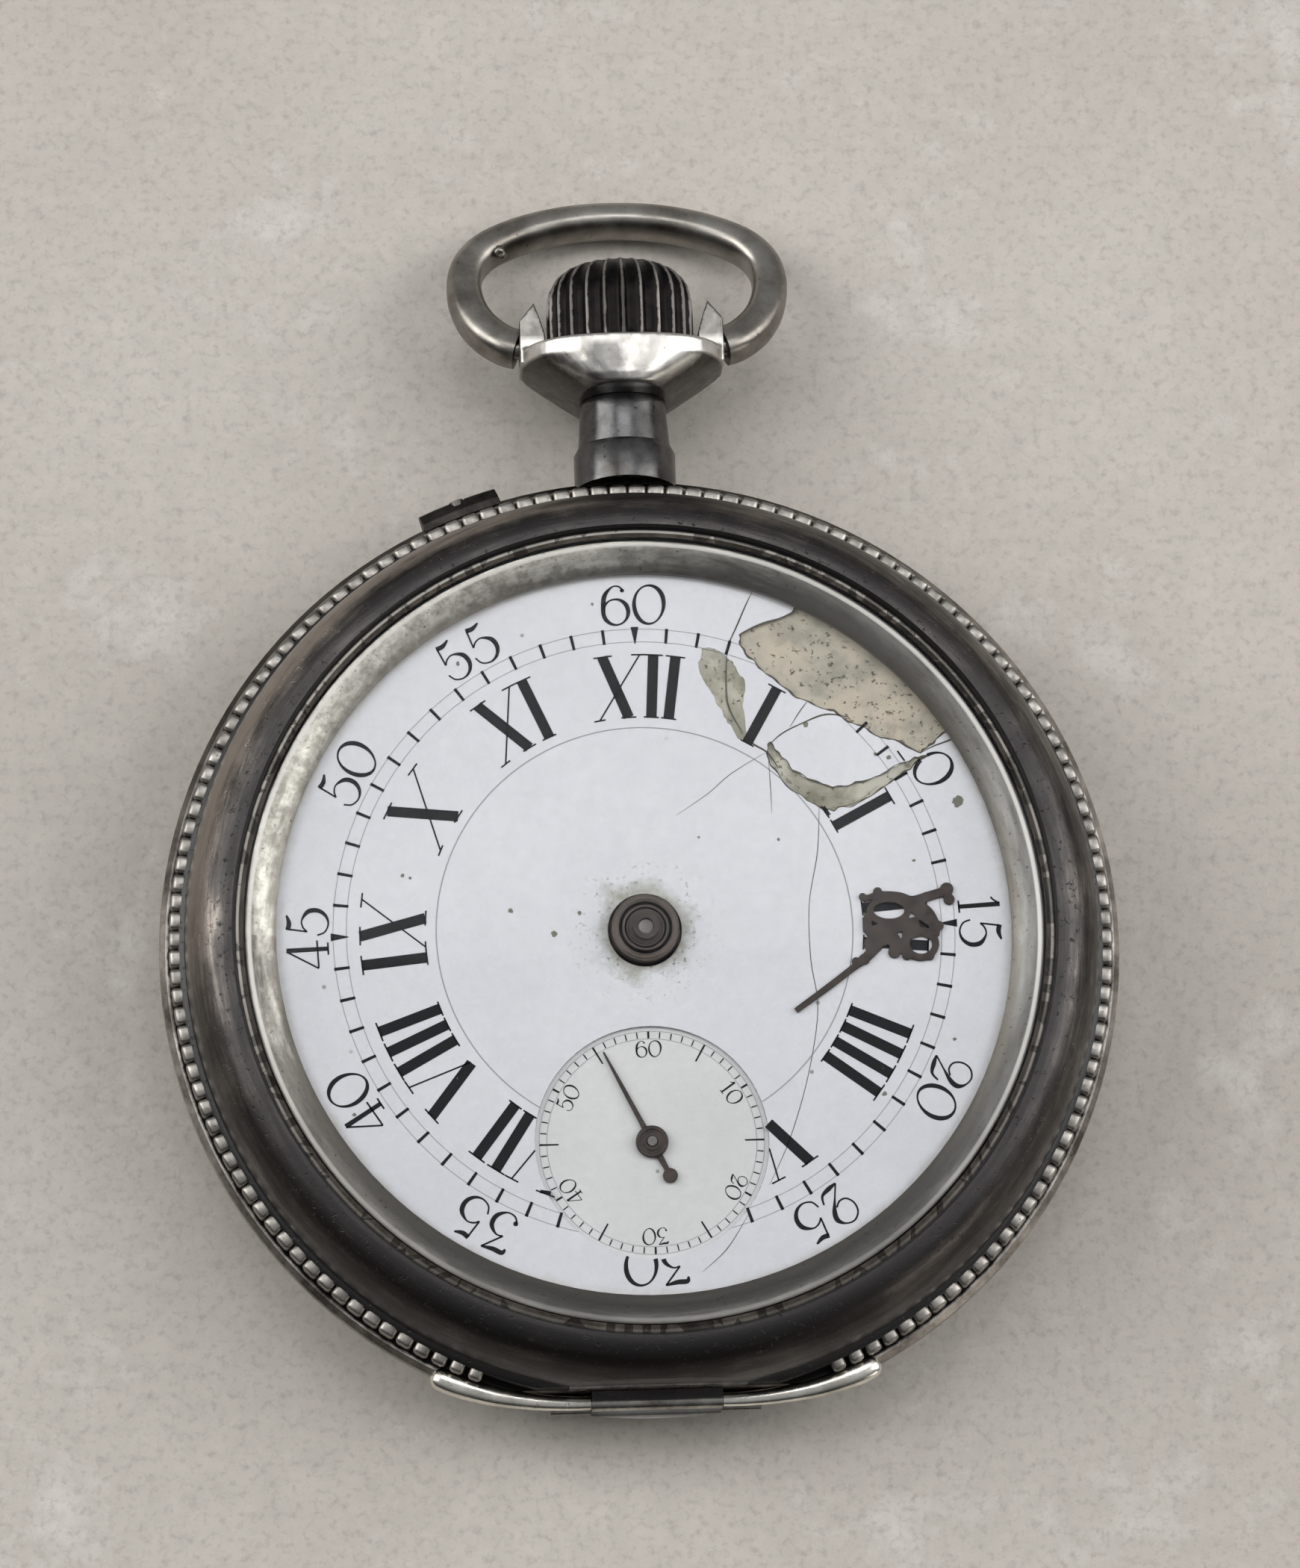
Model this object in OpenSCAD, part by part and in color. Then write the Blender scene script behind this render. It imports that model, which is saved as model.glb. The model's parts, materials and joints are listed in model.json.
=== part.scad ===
// Open-face pocket watch with enamel dial, sunk seconds dial, pin setting and a going lever movement.
// +Z points up through the dial, +Y points to 12 o'clock, z = 0 is the surface that the back lies on.

/* [Case] */
// Outer radius of the case band
band_r = 25.5; // [25.3:0.1:25.7]
// Outer radius of the beaded edge of the bezel
bead_r = 24.95; // [24.8:0.05:25]
// Inner radius of the band, which holds the movement
band_bore_r = 21; // [20.95:0.05:21.05]
// Outer radius of the back lid
lid_r = 25; // [24.9:0.05:25]
// Wall thickness of the back lid at its middle
lid_wall = 0.55; // [0.45:0.05:0.6]
// Height of the highest point of the crystal
crystal_top = 12.4; // [12.2:0.1:13]

/* [Pendant, crown and bow] */
// Height of the winding stem above the table
stem_z = 5.05; // [5:0.01:5.1]
// Distance of the bow pivot from the dial centre
bow_y = 33.2; // [33:0.1:33.4]
// Angle that the bow leans back from the plane of the case
bow_lean = 23; // [20:0.5:23]
// Radius of the crown
crown_r = 4; // [3.8:0.05:4.05]
// Height of the crown along the stem
crown_h = 5; // [4.6:0.1:5.2]
// Number of flutes round the crown
crown_flutes = 24; // [20:1:26]

/* [Dial] */
// Height of the enamel surface
dial_z = 9; // [8.95:0.01:9.05]
// Outer radius of the dial
dial_r = 20.2; // [20:0.05:20.25]
// Distance of the seconds arbor below the dial centre
seconds_y = 11.2; // [11.2:0.1:11.2]
// Radius of the seconds dial
seconds_r = 6.1; // [5.9:0.05:6.2]

/* [Train] */
// Teeth on the barrel and leaves on the centre pinion
barrel_teeth = [72, 10];
// Teeth on the centre wheel and leaves on the third pinion
centre_teeth = [80, 10];
// Teeth on the third wheel and leaves on the fourth pinion
third_teeth = [75, 10];
// Teeth on the fourth wheel and leaves on the escape pinion
fourth_teeth = [70, 7];

/* [Hidden] */
$fn = 72;

// Heights of the case parts
lid_top = 4.25;
band_low = 4.3;
band_high = 5.75;
bezel_low = 5.8;
snap_r = 22.6;
glass_seat_z = 10.5;
glass_r = 21.38;
run = 0.03;            // radial clearance of a small bearing

// Hinges at 6 o'clock
bezel_axis = [-24.25, 5.25];    // y and z
back_axis = [-24.5, 3.95];
cuvette_axis = [-22.15, 3];
bezel_flat_y = -23.6;
band_flat_y = -23.55;
knuckle_half = 3.4;             // half length of the middle knuckle
lug_end = 6;                    // outer end of the side knuckles
bezel_tube_r = 0.45;
back_tube_r = 0.45;
cuvette_tube_r = 0.35;
pin_r = 0.2;

// Heights of the movement
plate_low = 6.35;
plate_high = 7.3;
plate_r = 20.9;
bridge_low = 2.5;
bridge_high = 3.4;
wheel_t = 0.25;
pivot_r = 0.15;
jewel_r = 0.7;

// Arbor places, worked out from the tooth counts and the modules
barrel_module = 0.249;
centre_module = 0.16;
third_module = 0.1306;
fourth_module = 0.13;
function pitch_r(n, m) = n * m / 2;
function gap(pair, m) = pitch_r(pair[0], m) + pitch_r(pair[1], m);
barrel_gap = gap(barrel_teeth, barrel_module);
centre_gap = gap(centre_teeth, centre_module);
third_gap = gap(third_teeth, third_module);
fourth_gap = gap(fourth_teeth, fourth_module);
barrel_turn = 45;
escape_turn = 160;
centre_at = [0, 0];
fourth_at = [0, -seconds_y];
barrel_at = barrel_gap * [cos(barrel_turn), sin(barrel_turn)];
third_y = (pow(third_gap, 2) - pow(centre_gap, 2) - pow(seconds_y, 2)) / (2 * seconds_y);
third_at = [sqrt(pow(centre_gap, 2) - pow(third_y, 2)), third_y];
escape_at = fourth_at + fourth_gap * [cos(escape_turn), sin(escape_turn)];
pallet_at = escape_at + 3.1 * [cos(151), sin(151)];
balance_at = [-11, -3.6];
crown_wheel_at = [0, 14];
ratchet_gap = norm(barrel_at - crown_wheel_at);
ratchet_teeth = [56, 32];
ratchet_module = 2 * ratchet_gap / (ratchet_teeth[0] + ratchet_teeth[1]);
click_at = barrel_at + 7.75 * [cos(-12), sin(-12)];
minute_at = 4 * [cos(200), sin(200)];
barrel_feet = [[-5.5, 17], [16.5, -1.5]];
train_feet = [[12, -11], [3.5, -18]];
escape_foot = [-7.6, -16];
pallet_foot = [-12.6, -12.8];
balance_foot = [-17.2, 2.8];

// Push piece, left of 12 o'clock
pusher_angle = 110.5;

function bearing(from, to) = atan2(to[1] - from[1], to[0] - from[0]);

// ---------- shared shapes ----------

module at(p, z = 0) { translate([p[0], p[1], z]) children(); }

module disc(p, r, low, high) { at(p, low) cylinder(r = r, h = high - low); }

module along_y(y0, y1, r0, r1) {
    translate([0, y0, stem_z]) rotate([-90, 0, 0]) cylinder(r1 = r0, r2 = r1, h = y1 - y0);
}

module along_x(axis, x0, x1, r) {
    translate([x0, axis[0], axis[1]]) rotate([0, 90, 0]) cylinder(r = r, h = x1 - x0);
}

module both_sides() { children(); mirror([1, 0, 0]) children(); }

// A flat bar with round ends between two points
module bar(p, q, w, low, high) {
    disc(p, w / 2, low, high);
    disc(q, w / 2, low, high);
    at(p, low) rotate([0, 0, bearing(p, q)]) translate([0, -0.48 * w, 0])
        cube([norm(q - p), 0.96 * w, high - low]);
}

// Outline of a gear: narrow teeth that leave backlash on both flanks
module gear_outline(n, m, rise, fall, root_share, tip_share) {
    pitch = 360 / n;
    tip = pitch_r(n, m) + rise * m;
    root = pitch_r(n, m) - fall * m;
    polygon([for (i = [0 : n - 1]) for (k = [-1, 1]) for (e = (k < 0 ? [0, 1] : [1, 0]))
        let (a = pitch * (i + k * (e ? tip_share : root_share)), r = e ? tip : root)
            r * [cos(a), sin(a)]]);
}

module wheel_outline(n, m) { gear_outline(n, m, 0.8, 1.1, 0.2, 0.06); }

module pinion_outline(n, m) { gear_outline(n, m, 0.45, 1.2, 0.15, 0.1); }

module arc_block(r0, r1, low, high, start, sweep) {
    rotate([0, 0, start]) rotate_extrude(angle = sweep)
        translate([r0, low]) square([r1 - r0, high - low]);
}

// A crossed-out train wheel with its bore
module train_wheel(p, n, m, face, low, high, bore, hub, rim, arms, turn) {
    arm_gap = 360 / arms;
    at(p) difference() {
        rotate([0, 0, face]) translate([0, 0, low]) linear_extrude(high - low) wheel_outline(n, m);
        disc([0, 0], bore, low - 1, high + 1);
        for (i = [0 : arms - 1])
            arc_block(hub, rim, low - 1, high + 1, turn + i * arm_gap + 10, arm_gap - 20);
    }
}

// A pinion with its leaves facing a wheel, cut from solid with its arbor
module pinion(p, n, m, face, low, high) {
    at(p, low) rotate([0, 0, face + 180 + 180 / n]) linear_extrude(high - low) pinion_outline(n, m);
}

module spiral(r0, r1, turns, t, low, high, steps) {
    count = turns * steps;
    function ring(i, side) = let (a = 360 * i / steps, r = r0 + (r1 - r0) * i / count + side * t / 2)
        r * [cos(a), sin(a)];
    translate([0, 0, low]) linear_extrude(high - low)
        polygon(concat([for (i = [0 : count]) ring(i, 1)], [for (i = [count : -1 : 0]) ring(i, -1)]));
}

module foot(p, w) { disc(p, w / 2, bridge_high, plate_low); }

module screw_hole(p) { disc(p, 0.42, bridge_low - 1, plate_low + 0.8); }

module jewel_hole(p, low, high) { disc(p, jewel_r, low - 1, high + 1); }

// ---------- case ----------

band_profile = [[band_bore_r, 3.7], [24, 3.7], [24.3, 4], [24.3, band_low], [25.1, band_low],
    [band_r - 0.05, 4.55], [band_r, 5], [band_r - 0.05, 5.45], [25.15, band_high],
    [snap_r, band_high], [snap_r, 6.5], [22.45, 6.6], [21.9, 6.6], [21.9, dial_z],
    [band_bore_r, dial_z], [band_bore_r, plate_low], [20.3, plate_low], [20.3, 5.8], [band_bore_r, 5.8]];

module case_middle() {
    color("silver") difference() {
        rotate_extrude() polygon(band_profile);
        translate([-15, -30, 0]) cube([30, 30 + band_flat_y, 12]);
        along_y(18, 27, 0.55, 0.55);
        rotate([0, 0, pusher_angle - 90]) along_y(18, 27, 0.46, 0.46);
        translate([-4.75, -23, 0]) cube([9.5, 1.4, 3.85]);
    }
}

// Side knuckles of the two case hinges, with the long wings beside the bezel
module hinge_bracket() {
    color("gainsboro") both_sides() difference() {
        union() {
            along_x(bezel_axis, knuckle_half + 0.1, lug_end, bezel_tube_r);
            along_x(back_axis, knuckle_half + 0.1, lug_end, back_tube_r);
            translate([knuckle_half + 0.1, bezel_axis[0], 4.2])
                cube([lug_end - knuckle_half - 0.1, band_flat_y - bezel_axis[0], 1.3]);
            translate([lug_end, bezel_axis[0], bezel_axis[1]]) rotate([0, 0, 16]) {
                translate([-0.4, 0, 0]) rotate([0, 90, 0]) cylinder(r1 = 0.5, r2 = 0.6, h = 5.8);
                translate([5.3, 0, 0]) sphere(r = 0.66);
            }
        }
        along_x(bezel_axis, 0, lug_end - 0.5, pin_r);
        along_x(back_axis, 0, lug_end - 0.5, pin_r);
        difference() {
            rotate_extrude() polygon([[20, 4], [25.1, 4], [25.1, band_low], [band_r - 0.05, 4.55],
                [band_r, 5], [band_r - 0.05, 5.45], [25.15, band_high], [bead_r + 0.06, band_high],
                [bead_r + 0.06, 7], [20, 7]]);
            translate([-15, -30, 0]) cube([30, 30 + band_flat_y, 12]);
        }
    }
}

module cuvette_hinge_lugs() {
    color("silver") both_sides() difference() {
        union() {
            along_x(cuvette_axis, 2.6, 4.6, cuvette_tube_r);
            translate([2.6, cuvette_axis[0] - 0.15, cuvette_axis[1]]) cube([2, 0.3, 0.85]);
        }
        along_x(cuvette_axis, 2, 4.2, 0.15);
    }
}

module bezel_hinge_pin() {
    color("dimgray") along_x(bezel_axis, -(lug_end - 0.5), lug_end - 0.5, pin_r);
}

module back_hinge_pin() {
    color("dimgray") along_x(back_axis, -(lug_end - 0.5), lug_end - 0.5, pin_r);
}

module cuvette_hinge_pin() {
    color("dimgray") along_x(cuvette_axis, -4.2, 4.2, 0.15);
}

// Cross-section of the bezel: beaded edge, smooth convex face and the glass seat
bezel_crown = [21.6, 7.6];
bezel_spread = [2.45, 3.45];
bezel_profile = concat([[22.65, bezel_low], [24.55, bezel_low], [24.85, 6], [bead_r, 6.4], [24.85, 6.85],
    [24.5, 7.1], [24.2, 7.15]],
    [for (a = [0 : 9 : 90]) bezel_crown + [bezel_spread[0] * cos(a), bezel_spread[1] * sin(a)]],
    [[21.45, 11.05], [21.4, 10.95], [21.4, glass_seat_z], [20.95, glass_seat_z], [20.95, 10.25],
    [22.2, 9.4], [22.65, 8.8]]);

module bezel() {
    color("darkgray") difference() {
        union() {
            difference() {
                rotate_extrude() polygon(bezel_profile);
                translate([-15, -30, 0]) cube([30, 30 + bezel_flat_y, 20]);
            }
            along_x(bezel_axis, -knuckle_half, knuckle_half, bezel_tube_r);
            translate([-knuckle_half, bezel_axis[0] - 0.15, bezel_axis[1] + 0.3])
                cube([2 * knuckle_half, bezel_flat_y - bezel_axis[0] + 0.15, 1]);
        }
        along_x(bezel_axis, -4, 4, pin_r + 0.02);
    }
}

module crystal() {
    dome = crystal_top - 10.95;
    color("aliceblue", 0.3) rotate_extrude() polygon(concat(
        [for (i = [0 : 12]) [21.2 * i / 12, 10.95 + dome * (1 - pow(i / 12, 2))]],
        [[glass_r, 10.8], [glass_r, glass_seat_z], [20.6, glass_seat_z]],
        [for (i = [11 : -1 : 0]) [20.6 * i / 12, glass_seat_z + (dome - 0.35) * (1 - pow(i / 12, 2))]]));
}

// The back: a flat middle that rests on the table, and a shell that rises to the band
lid_flat = 14;
function lid_curve(r, flat_r, low, high, turns) =
    [for (a = turns) [flat_r + (r - flat_r) * sin(a), high - (high - low) * cos(a)]];

module case_back() {
    color("silver") difference() {
        union() {
            difference() {
                rotate_extrude() polygon(concat([[0, 0]], lid_curve(lid_r, lid_flat, 0, 4, [0 : 9 : 90]),
                    [[lid_r, lid_top], [lid_r - 0.6, lid_top]],
                    lid_curve(lid_r - 0.6, lid_flat, lid_wall, 4, [90 : -9 : 0]), [[0, lid_wall]]));
                both_sides() along_x(back_axis, knuckle_half + 0.05, lug_end + 0.05, back_tube_r + 0.1);
                both_sides() translate([knuckle_half + 0.05, -26, back_axis[1]])
                    cube([lug_end - knuckle_half, 26 + band_flat_y, 1]);
            }
            intersection() {
                along_x(back_axis, -knuckle_half, knuckle_half, back_tube_r);
                rotate_extrude() polygon(concat([[20, 4.5], [20, 0]],
                    lid_curve(lid_r, lid_flat, 0, 4, [45 : 9 : 90]), [[lid_r + 0.05, 4.5]]));
            }
        }
        along_x(back_axis, -4, 4, pin_r + 0.02);
    }
}

// The inner dust cover
cuvette_r = 21.6;
module cuvette() {
    color("whitesmoke") difference() {
        union() {
            difference() {
                rotate_extrude() polygon([[0, 1.4], [19, 1.4], [20.2, 1.75], [21.1, 2.4], [cuvette_r, 3.1],
                    [cuvette_r, 3.4], [21.25, 3.4], [20.8, 2.65], [20, 2.08], [18.95, 1.75], [0, 1.75]]);
                translate([-4.8, -23, 2]) cube([9.6, 1.5, 3]);
            }
            along_x(cuvette_axis, -2.5, 2.5, cuvette_tube_r);
            translate([-2.5, cuvette_axis[0], cuvette_axis[1] - 0.3]) cube([5, 1.2, 0.3]);
        }
        along_x(cuvette_axis, -3, 3, 0.17);
    }
}

// ---------- pendant, bow and crown ----------

module pendant_neck() {
    color("silver") difference() {
        union() {
            along_y(24.6, 27, 2.75, 2.75);
            along_y(27, 27.4, 2.75, 2.55);
            along_y(27.4, 29.95, 2.5, 2.3);
        }
        along_y(24, 31, 0.7, 0.7);
        rotate_extrude($fn = 144) polygon([[0, 0], [25.25, 0], [25.25, band_low], [band_r - 0.05, 4.55],
            [band_r, 5], [band_r - 0.05, 5.45], [25.2, band_high], [25.2, 9], [0, 9]]);
    }
}

// Front outline of the head: a boat with two ears
head_outline = [[2.3, 29.95], [3.6, 30.55], [4.8, 31.25], [5.4, 31.75], [5.55, 32.1], [5.55, 34.2],
    [4.7, 35.4], [4.15, 34.6], [4.15, 32.7]];
// Side outline of the head: half its thickness along the stem
head_side = [[2.4, 29.95], [3.3, 30.3], [4, 30.9], [4.4, 31.7], [4.5, 32.3], [4.4, 32.7], [1.75, 32.7],
    [1.75, 34.6], [1.3, 35.4]];

module head_half_outline() {
    polygon(concat(head_outline, [for (i = [8 : -1 : 0]) [-head_outline[i][0], head_outline[i][1]]]));
}

module pendant_head() {
    color("gainsboro") difference() {
        intersection() {
            translate([0, 0, stem_z - 6]) linear_extrude(12) head_half_outline();
            translate([-7, 0, stem_z]) rotate([90, 0, 90]) linear_extrude(14)
                polygon(concat([for (p = head_side) [p[1], p[0]]],
                    [for (i = [8 : -1 : 0]) [head_side[i][1], -head_side[i][0]]]));
            translate([0, 0, stem_z]) rotate([-90, 0, 0]) rotate_extrude()
                polygon([[0, 29.95], [2.4, 29.95], [4.1, 30.5], [5.4, 31.4], [6, 32.4], [6, 36], [0, 36]]);
        }
        along_y(29, 34, 0.7, 0.7);
        both_sides() along_x([bow_y, stem_z], 4.6, 6, 0.5);
    }
}

module bow_pins() {
    color("dimgray") both_sides() along_x([bow_y, stem_z], 4.6, 6.2, 0.5);
}

// The bow, drawn flat about its pivot and then leant back
bow_t = 2;
bow_depth = 2.2;
bow_side_c = [5, 4.5];
bow_side_r = 3.4;
bow_top_r = 12.5;
bow_top_c = [0, 9.4 - bow_top_r];
bow_top_turn = atan2(bow_side_c[0], bow_side_c[1] - bow_top_c[1]);
bow_end_turn = 150;

module bow_section() {
    a = bow_t / 2;
    b = bow_depth / 2;
    polygon([[-a, -b + 0.35], [-a + 0.3, -b], [a - 0.9, -b], [a - 0.25, -b + 0.35], [a, -0.4], [a, 0.4],
        [a - 0.25, b - 0.35], [a - 0.9, b], [-a + 0.3, b], [-a, b - 0.35]]);
}

module bow_arc(c, r, from, to) {
    translate([c[0], c[1], 0]) rotate([0, 0, 90 - to]) rotate_extrude(angle = to - from)
        translate([r, 0]) bow_section();
}

module bow() {
    end = bow_side_c + bow_side_r * [sin(bow_end_turn), cos(bow_end_turn)];
    color("silver") translate([0, bow_y, stem_z]) rotate([-bow_lean, 0, 0]) difference() {
        union() {
            bow_arc(bow_top_c, bow_top_r, -bow_top_turn - 0.3, bow_top_turn + 0.3);
            both_sides() bow_arc(bow_side_c, bow_side_r, bow_top_turn, bow_end_turn + 1);
            both_sides() translate([end[0], end[1], 0]) rotate([0, 0, 90 - bow_end_turn])
                rotate([90, 0, 0]) linear_extrude(1.3) bow_section();
            both_sides() translate([5.65, 0, 0]) rotate([0, 90, 0]) cylinder(r = 1.1, h = 1.2);
        }
        both_sides() translate([5, 0, 0]) rotate([0, 90, 0]) cylinder(r = 0.53, h = 1.25);
        both_sides() translate([3.6, -2, -3]) cube([2.05, 6, 6]);
    }
}

crown_low = 32.78;
module crown() {
    flute_r = 0.55;
    crown_high = crown_low + crown_h;
    color("black") difference() {
        translate([0, 0, stem_z]) rotate([-90, 0, 0]) rotate_extrude() polygon(concat(
            [[0, crown_low], [crown_r - 0.3, crown_low], [crown_r, crown_low + 0.3]],
            [for (a = [0 : 15 : 90]) [crown_r - 1.6 + 1.6 * cos(a), crown_high - 2 + 2 * sin(a)]],
            [[0, crown_high]]));
        translate([0, 0, stem_z]) rotate([-90, 0, 0]) for (i = [0 : crown_flutes - 1])
            rotate([0, 0, (i + 0.5) * 360 / crown_flutes]) translate([crown_r + 0.32, 0, crown_low - 1])
                cylinder(r = flute_r, h = crown_h + 2, $fn = 24);
        along_y(crown_low - 1, crown_low + 3, 0.5, 0.5);
    }
}

// The clutch collar is turned on the stem behind the winding pinion
module winding_stem() {
    color("lightgray") union() {
        along_y(15.1, crown_low + 3, 0.5, 0.5);
        along_y(17.9, 19.2, 1.1, 1.1);
    }
}

winding_pinion_r = 1.6;
module winding_pinion() {
    leaves = 12;
    color("lightgray") difference() {
        translate([0, 17.4, stem_z]) rotate([90, 0, 0]) linear_extrude(1)
            polygon([for (i = [0 : leaves - 1]) for (k = [[-0.17, 1.2], [-0.12, 1.6], [0.12, 1.6],
                [0.17, 1.2]]) k[1] * [sin(360 / leaves * (i + k[0])), -cos(360 / leaves * (i + k[0]))]]);
        along_y(16, 18, 0.5, 0.5);
    }
}

// ---------- push piece ----------

module pusher_guard() {
    color("gainsboro") difference() {
        intersection() {
            rotate([0, 0, pusher_angle - 40]) rotate_extrude() polygon([[25.1, band_low], [25.7, 4.4],
                [26.2, 4.7], [26.3, 4.9], [26.3, 5.2], [26.2, 5.4], [25.7, 5.7], [25.15, band_high],
                [band_r - 0.05, 5.45], [band_r, 5], [band_r - 0.05, 4.55]]);
            rotate([0, 0, pusher_angle]) translate([24, -2.2, 4]) cube([4, 4.4, 3]);
        }
        rotate([0, 0, pusher_angle - 90]) along_y(24, 28, 0.46, 0.46);
    }
}

module setting_pusher() {
    color("silver") rotate([0, 0, pusher_angle - 90]) along_y(20.35, 26.3, 0.42, 0.42);
}

module pusher_spring() {
    color("steelblue") union() {
        arc_block(20.1, 20.3, 4.75, 5.35, pusher_angle - 3, 18);
        arc_block(19.7, 20.25, 4.75, plate_low, pusher_angle + 12, 3);
    }
}

// ---------- dial ----------

module dial_ring() {
    color("lightgray") rotate_extrude() polygon([[20.3, plate_high], [20.95, plate_high], [20.95, 10],
        [20.85, 10.15], [20.6, 10.15], [20.2, 10.02], [19.6, 9.75], [19.26, 9.45], [19.3, dial_z + 0.02],
        [20.3, dial_z + 0.02]]);
}

module dial() {
    color("white") difference() {
        union() {
            disc([0, 0], dial_r, 8.1, dial_z);
            for (a = [30, 150, 270]) disc(18.6 * [cos(a), sin(a)], 0.6, plate_high, 8.1);
        }
        disc([0, 0], 1.95, 7, 10);
        disc(fourth_at, seconds_r, 7, 10);
    }
}

module seconds_dial() {
    color("ghostwhite") difference() {
        disc(fourth_at, seconds_r - 0.01, 8.1, dial_z - 0.25);
        disc(fourth_at, 0.4, 7, 10);
    }
}

// A length of broken minute hand that lies loose on the dial
fragment_from = [7.75, -4.5];
fragment_to = [15.3, 1.4];
module minute_hand_fragment() {
    line = fragment_to - fragment_from;
    step = line / norm(line);
    knob_at = fragment_from + 9.1 * step;
    color("saddlebrown") difference() {
        union() {
            bar(fragment_from, fragment_to, 0.36, dial_z, dial_z + 0.18);
            for (k = [[3.9, 0.45], [4.7, 0.65], [6, 1.3], [7.6, 1.1]])
                disc(fragment_from + k[0] * step, k[1], dial_z, dial_z + 0.18);
            disc(knob_at, 0.5, dial_z, dial_z + 0.18);
        }
        for (side = [-1, 1]) disc(fragment_from + 6 * step + side * 0.75 * [-step[1], step[0]], 0.35, 8, 10);
        disc(fragment_from + 7.6 * step, 0.5, 8, 10);
    }
}

// ---------- plates and bridges ----------

plate_pivots = [third_at, escape_at, pallet_at, balance_at];
bridge_pivots = [third_at, fourth_at, escape_at, pallet_at, balance_at];

module main_plate() {
    color("goldenrod") difference() {
        union() {
            disc([0, 0], plate_r, plate_low, plate_high);
            translate([-1.4, 15.05, stem_z - 0.9]) cube([2.8, 1.1, plate_low - stem_z + 0.9]);
            disc(minute_at, 0.4, plate_high, 8);
        }
        disc([0, 0], 0.75 + run, 6, 8);
        disc(fourth_at, 0.25 + run, 6, 8);
        disc(barrel_at, 0.5 + run, 6, 8);
        disc(crown_wheel_at, 0.6, 6, 8);
        for (p = plate_pivots) jewel_hole(p, plate_low, plate_high);
        translate([-1.9, 16.15, plate_low - 0.1]) cube([3.8, 3.6, 0.6]);
        along_y(15, 17, 0.5 + run, 0.5 + run);
    }
}

module barrel_bridge() {
    color("khaki") difference() {
        union() {
            disc(barrel_at, 8.9, bridge_low, bridge_high);
            bar(barrel_at, barrel_feet[1], 5, bridge_low, bridge_high);
            bar(barrel_at, centre_at, 4, bridge_low, bridge_high);
            disc(crown_wheel_at, 5.2, bridge_low, bridge_high);
            bar(crown_wheel_at, barrel_feet[0], 4, bridge_low, bridge_high);
            for (p = barrel_feet) foot(p, 3.2);
        }
        disc(barrel_at, 0.8 + run, 2, 4);
        disc(centre_at, 0.4 + run, 2, 4);
        disc(crown_wheel_at, 3.55, 2, 4);
        disc(click_at, 0.35, 2, 4);
        for (p = barrel_feet) screw_hole(p);
    }
}

module train_bridge() {
    color("khaki") difference() {
        union() {
            bar(train_feet[0], third_at, 3, bridge_low, bridge_high);
            bar(third_at, fourth_at, 3, bridge_low, bridge_high);
            bar(fourth_at, train_feet[1], 3, bridge_low, bridge_high);
            for (p = train_feet) foot(p, 2.8);
        }
        for (p = [third_at, fourth_at]) jewel_hole(p, bridge_low, bridge_high);
        for (p = train_feet) screw_hole(p);
    }
}

module cock(pivot, base, w) {
    difference() {
        union() {
            bar(base, pivot, w, bridge_low, bridge_high);
            foot(base, w);
        }
        jewel_hole(pivot, bridge_low, bridge_high);
        screw_hole(base);
    }
}

module escape_cock() { color("khaki") cock(escape_at, escape_foot, 2.5); }

module pallet_cock() { color("khaki") cock(pallet_at, pallet_foot, 2.4); }

module balance_cock() {
    color("khaki") difference() {
        union() {
            bar(balance_foot, balance_at, 3.2, bridge_low, bridge_high);
            disc(balance_at, 3, bridge_low, bridge_high);
            disc(balance_at, 1 - run, bridge_low - 0.35, bridge_low);
            foot(balance_foot, 3.2);
        }
        jewel_hole(balance_at, bridge_low, bridge_high);
        screw_hole(balance_foot);
    }
}

module bridge_screws() {
    feet = concat(barrel_feet, train_feet, [escape_foot, pallet_foot, balance_foot]);
    color("steelblue") for (p = feet) difference() {
        union() {
            disc(p, 0.42, bridge_low, plate_low);
            disc(p, 0.85, bridge_low - 0.35, bridge_low);
        }
        at(p, bridge_low - 0.5) translate([-1, -0.1, 0]) cube([2, 0.2, 0.35]);
    }
}

module train_jewels() {
    color("crimson") {
        for (p = plate_pivots) difference() {
            disc(p, jewel_r, plate_low, plate_high);
            disc(p, pivot_r + run, 6, 8);
        }
        for (p = bridge_pivots) difference() {
            disc(p, jewel_r, bridge_low, bridge_high);
            disc(p, pivot_r + run, 2, 4);
        }
    }
}

module regulator() {
    tail = balance_at + 4.4 * [cos(60), sin(60)];
    color("steelblue") difference() {
        union() {
            disc(balance_at, 1.5, bridge_low - 0.3, bridge_low - 0.05);
            bar(balance_at, tail, 0.5, bridge_low - 0.3, bridge_low - 0.05);
        }
        disc(balance_at, 1, 2, 3);
    }
}

// ---------- power: barrel, ratchet and winding work ----------

drum_low = 4.2;
drum_high = 6.1;
module barrel_drum() {
    color("gold") difference() {
        union() {
            at(barrel_at, 5.75) rotate([0, 0, bearing(barrel_at, centre_at)])
                linear_extrude(drum_high - 5.75) wheel_outline(barrel_teeth[0], barrel_module);
            disc(barrel_at, 8.3, drum_low + 0.25, 5.8);
        }
        disc(barrel_at, 7.7, 4, 5.75);
        disc(barrel_at, 0.8 + run, 4, 7);
    }
}

module barrel_cover() {
    color("gold") difference() {
        disc(barrel_at, 8.3, drum_low, drum_low + 0.25);
        disc(barrel_at, 0.8 + run, 4, 7);
    }
}

module mainspring() {
    color("slategray") at(barrel_at) spiral(2, 7.4, 6, 0.3, 4.6, 5.65, 18);
}

module barrel_arbor() {
    color("lightgray") union() {
        disc(barrel_at, 0.8, 2.05, 6.15);
        disc(barrel_at, 1.5, 4.6, 5.65);
        disc(barrel_at, 0.5, 6.15, 7.2);
    }
}

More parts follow.
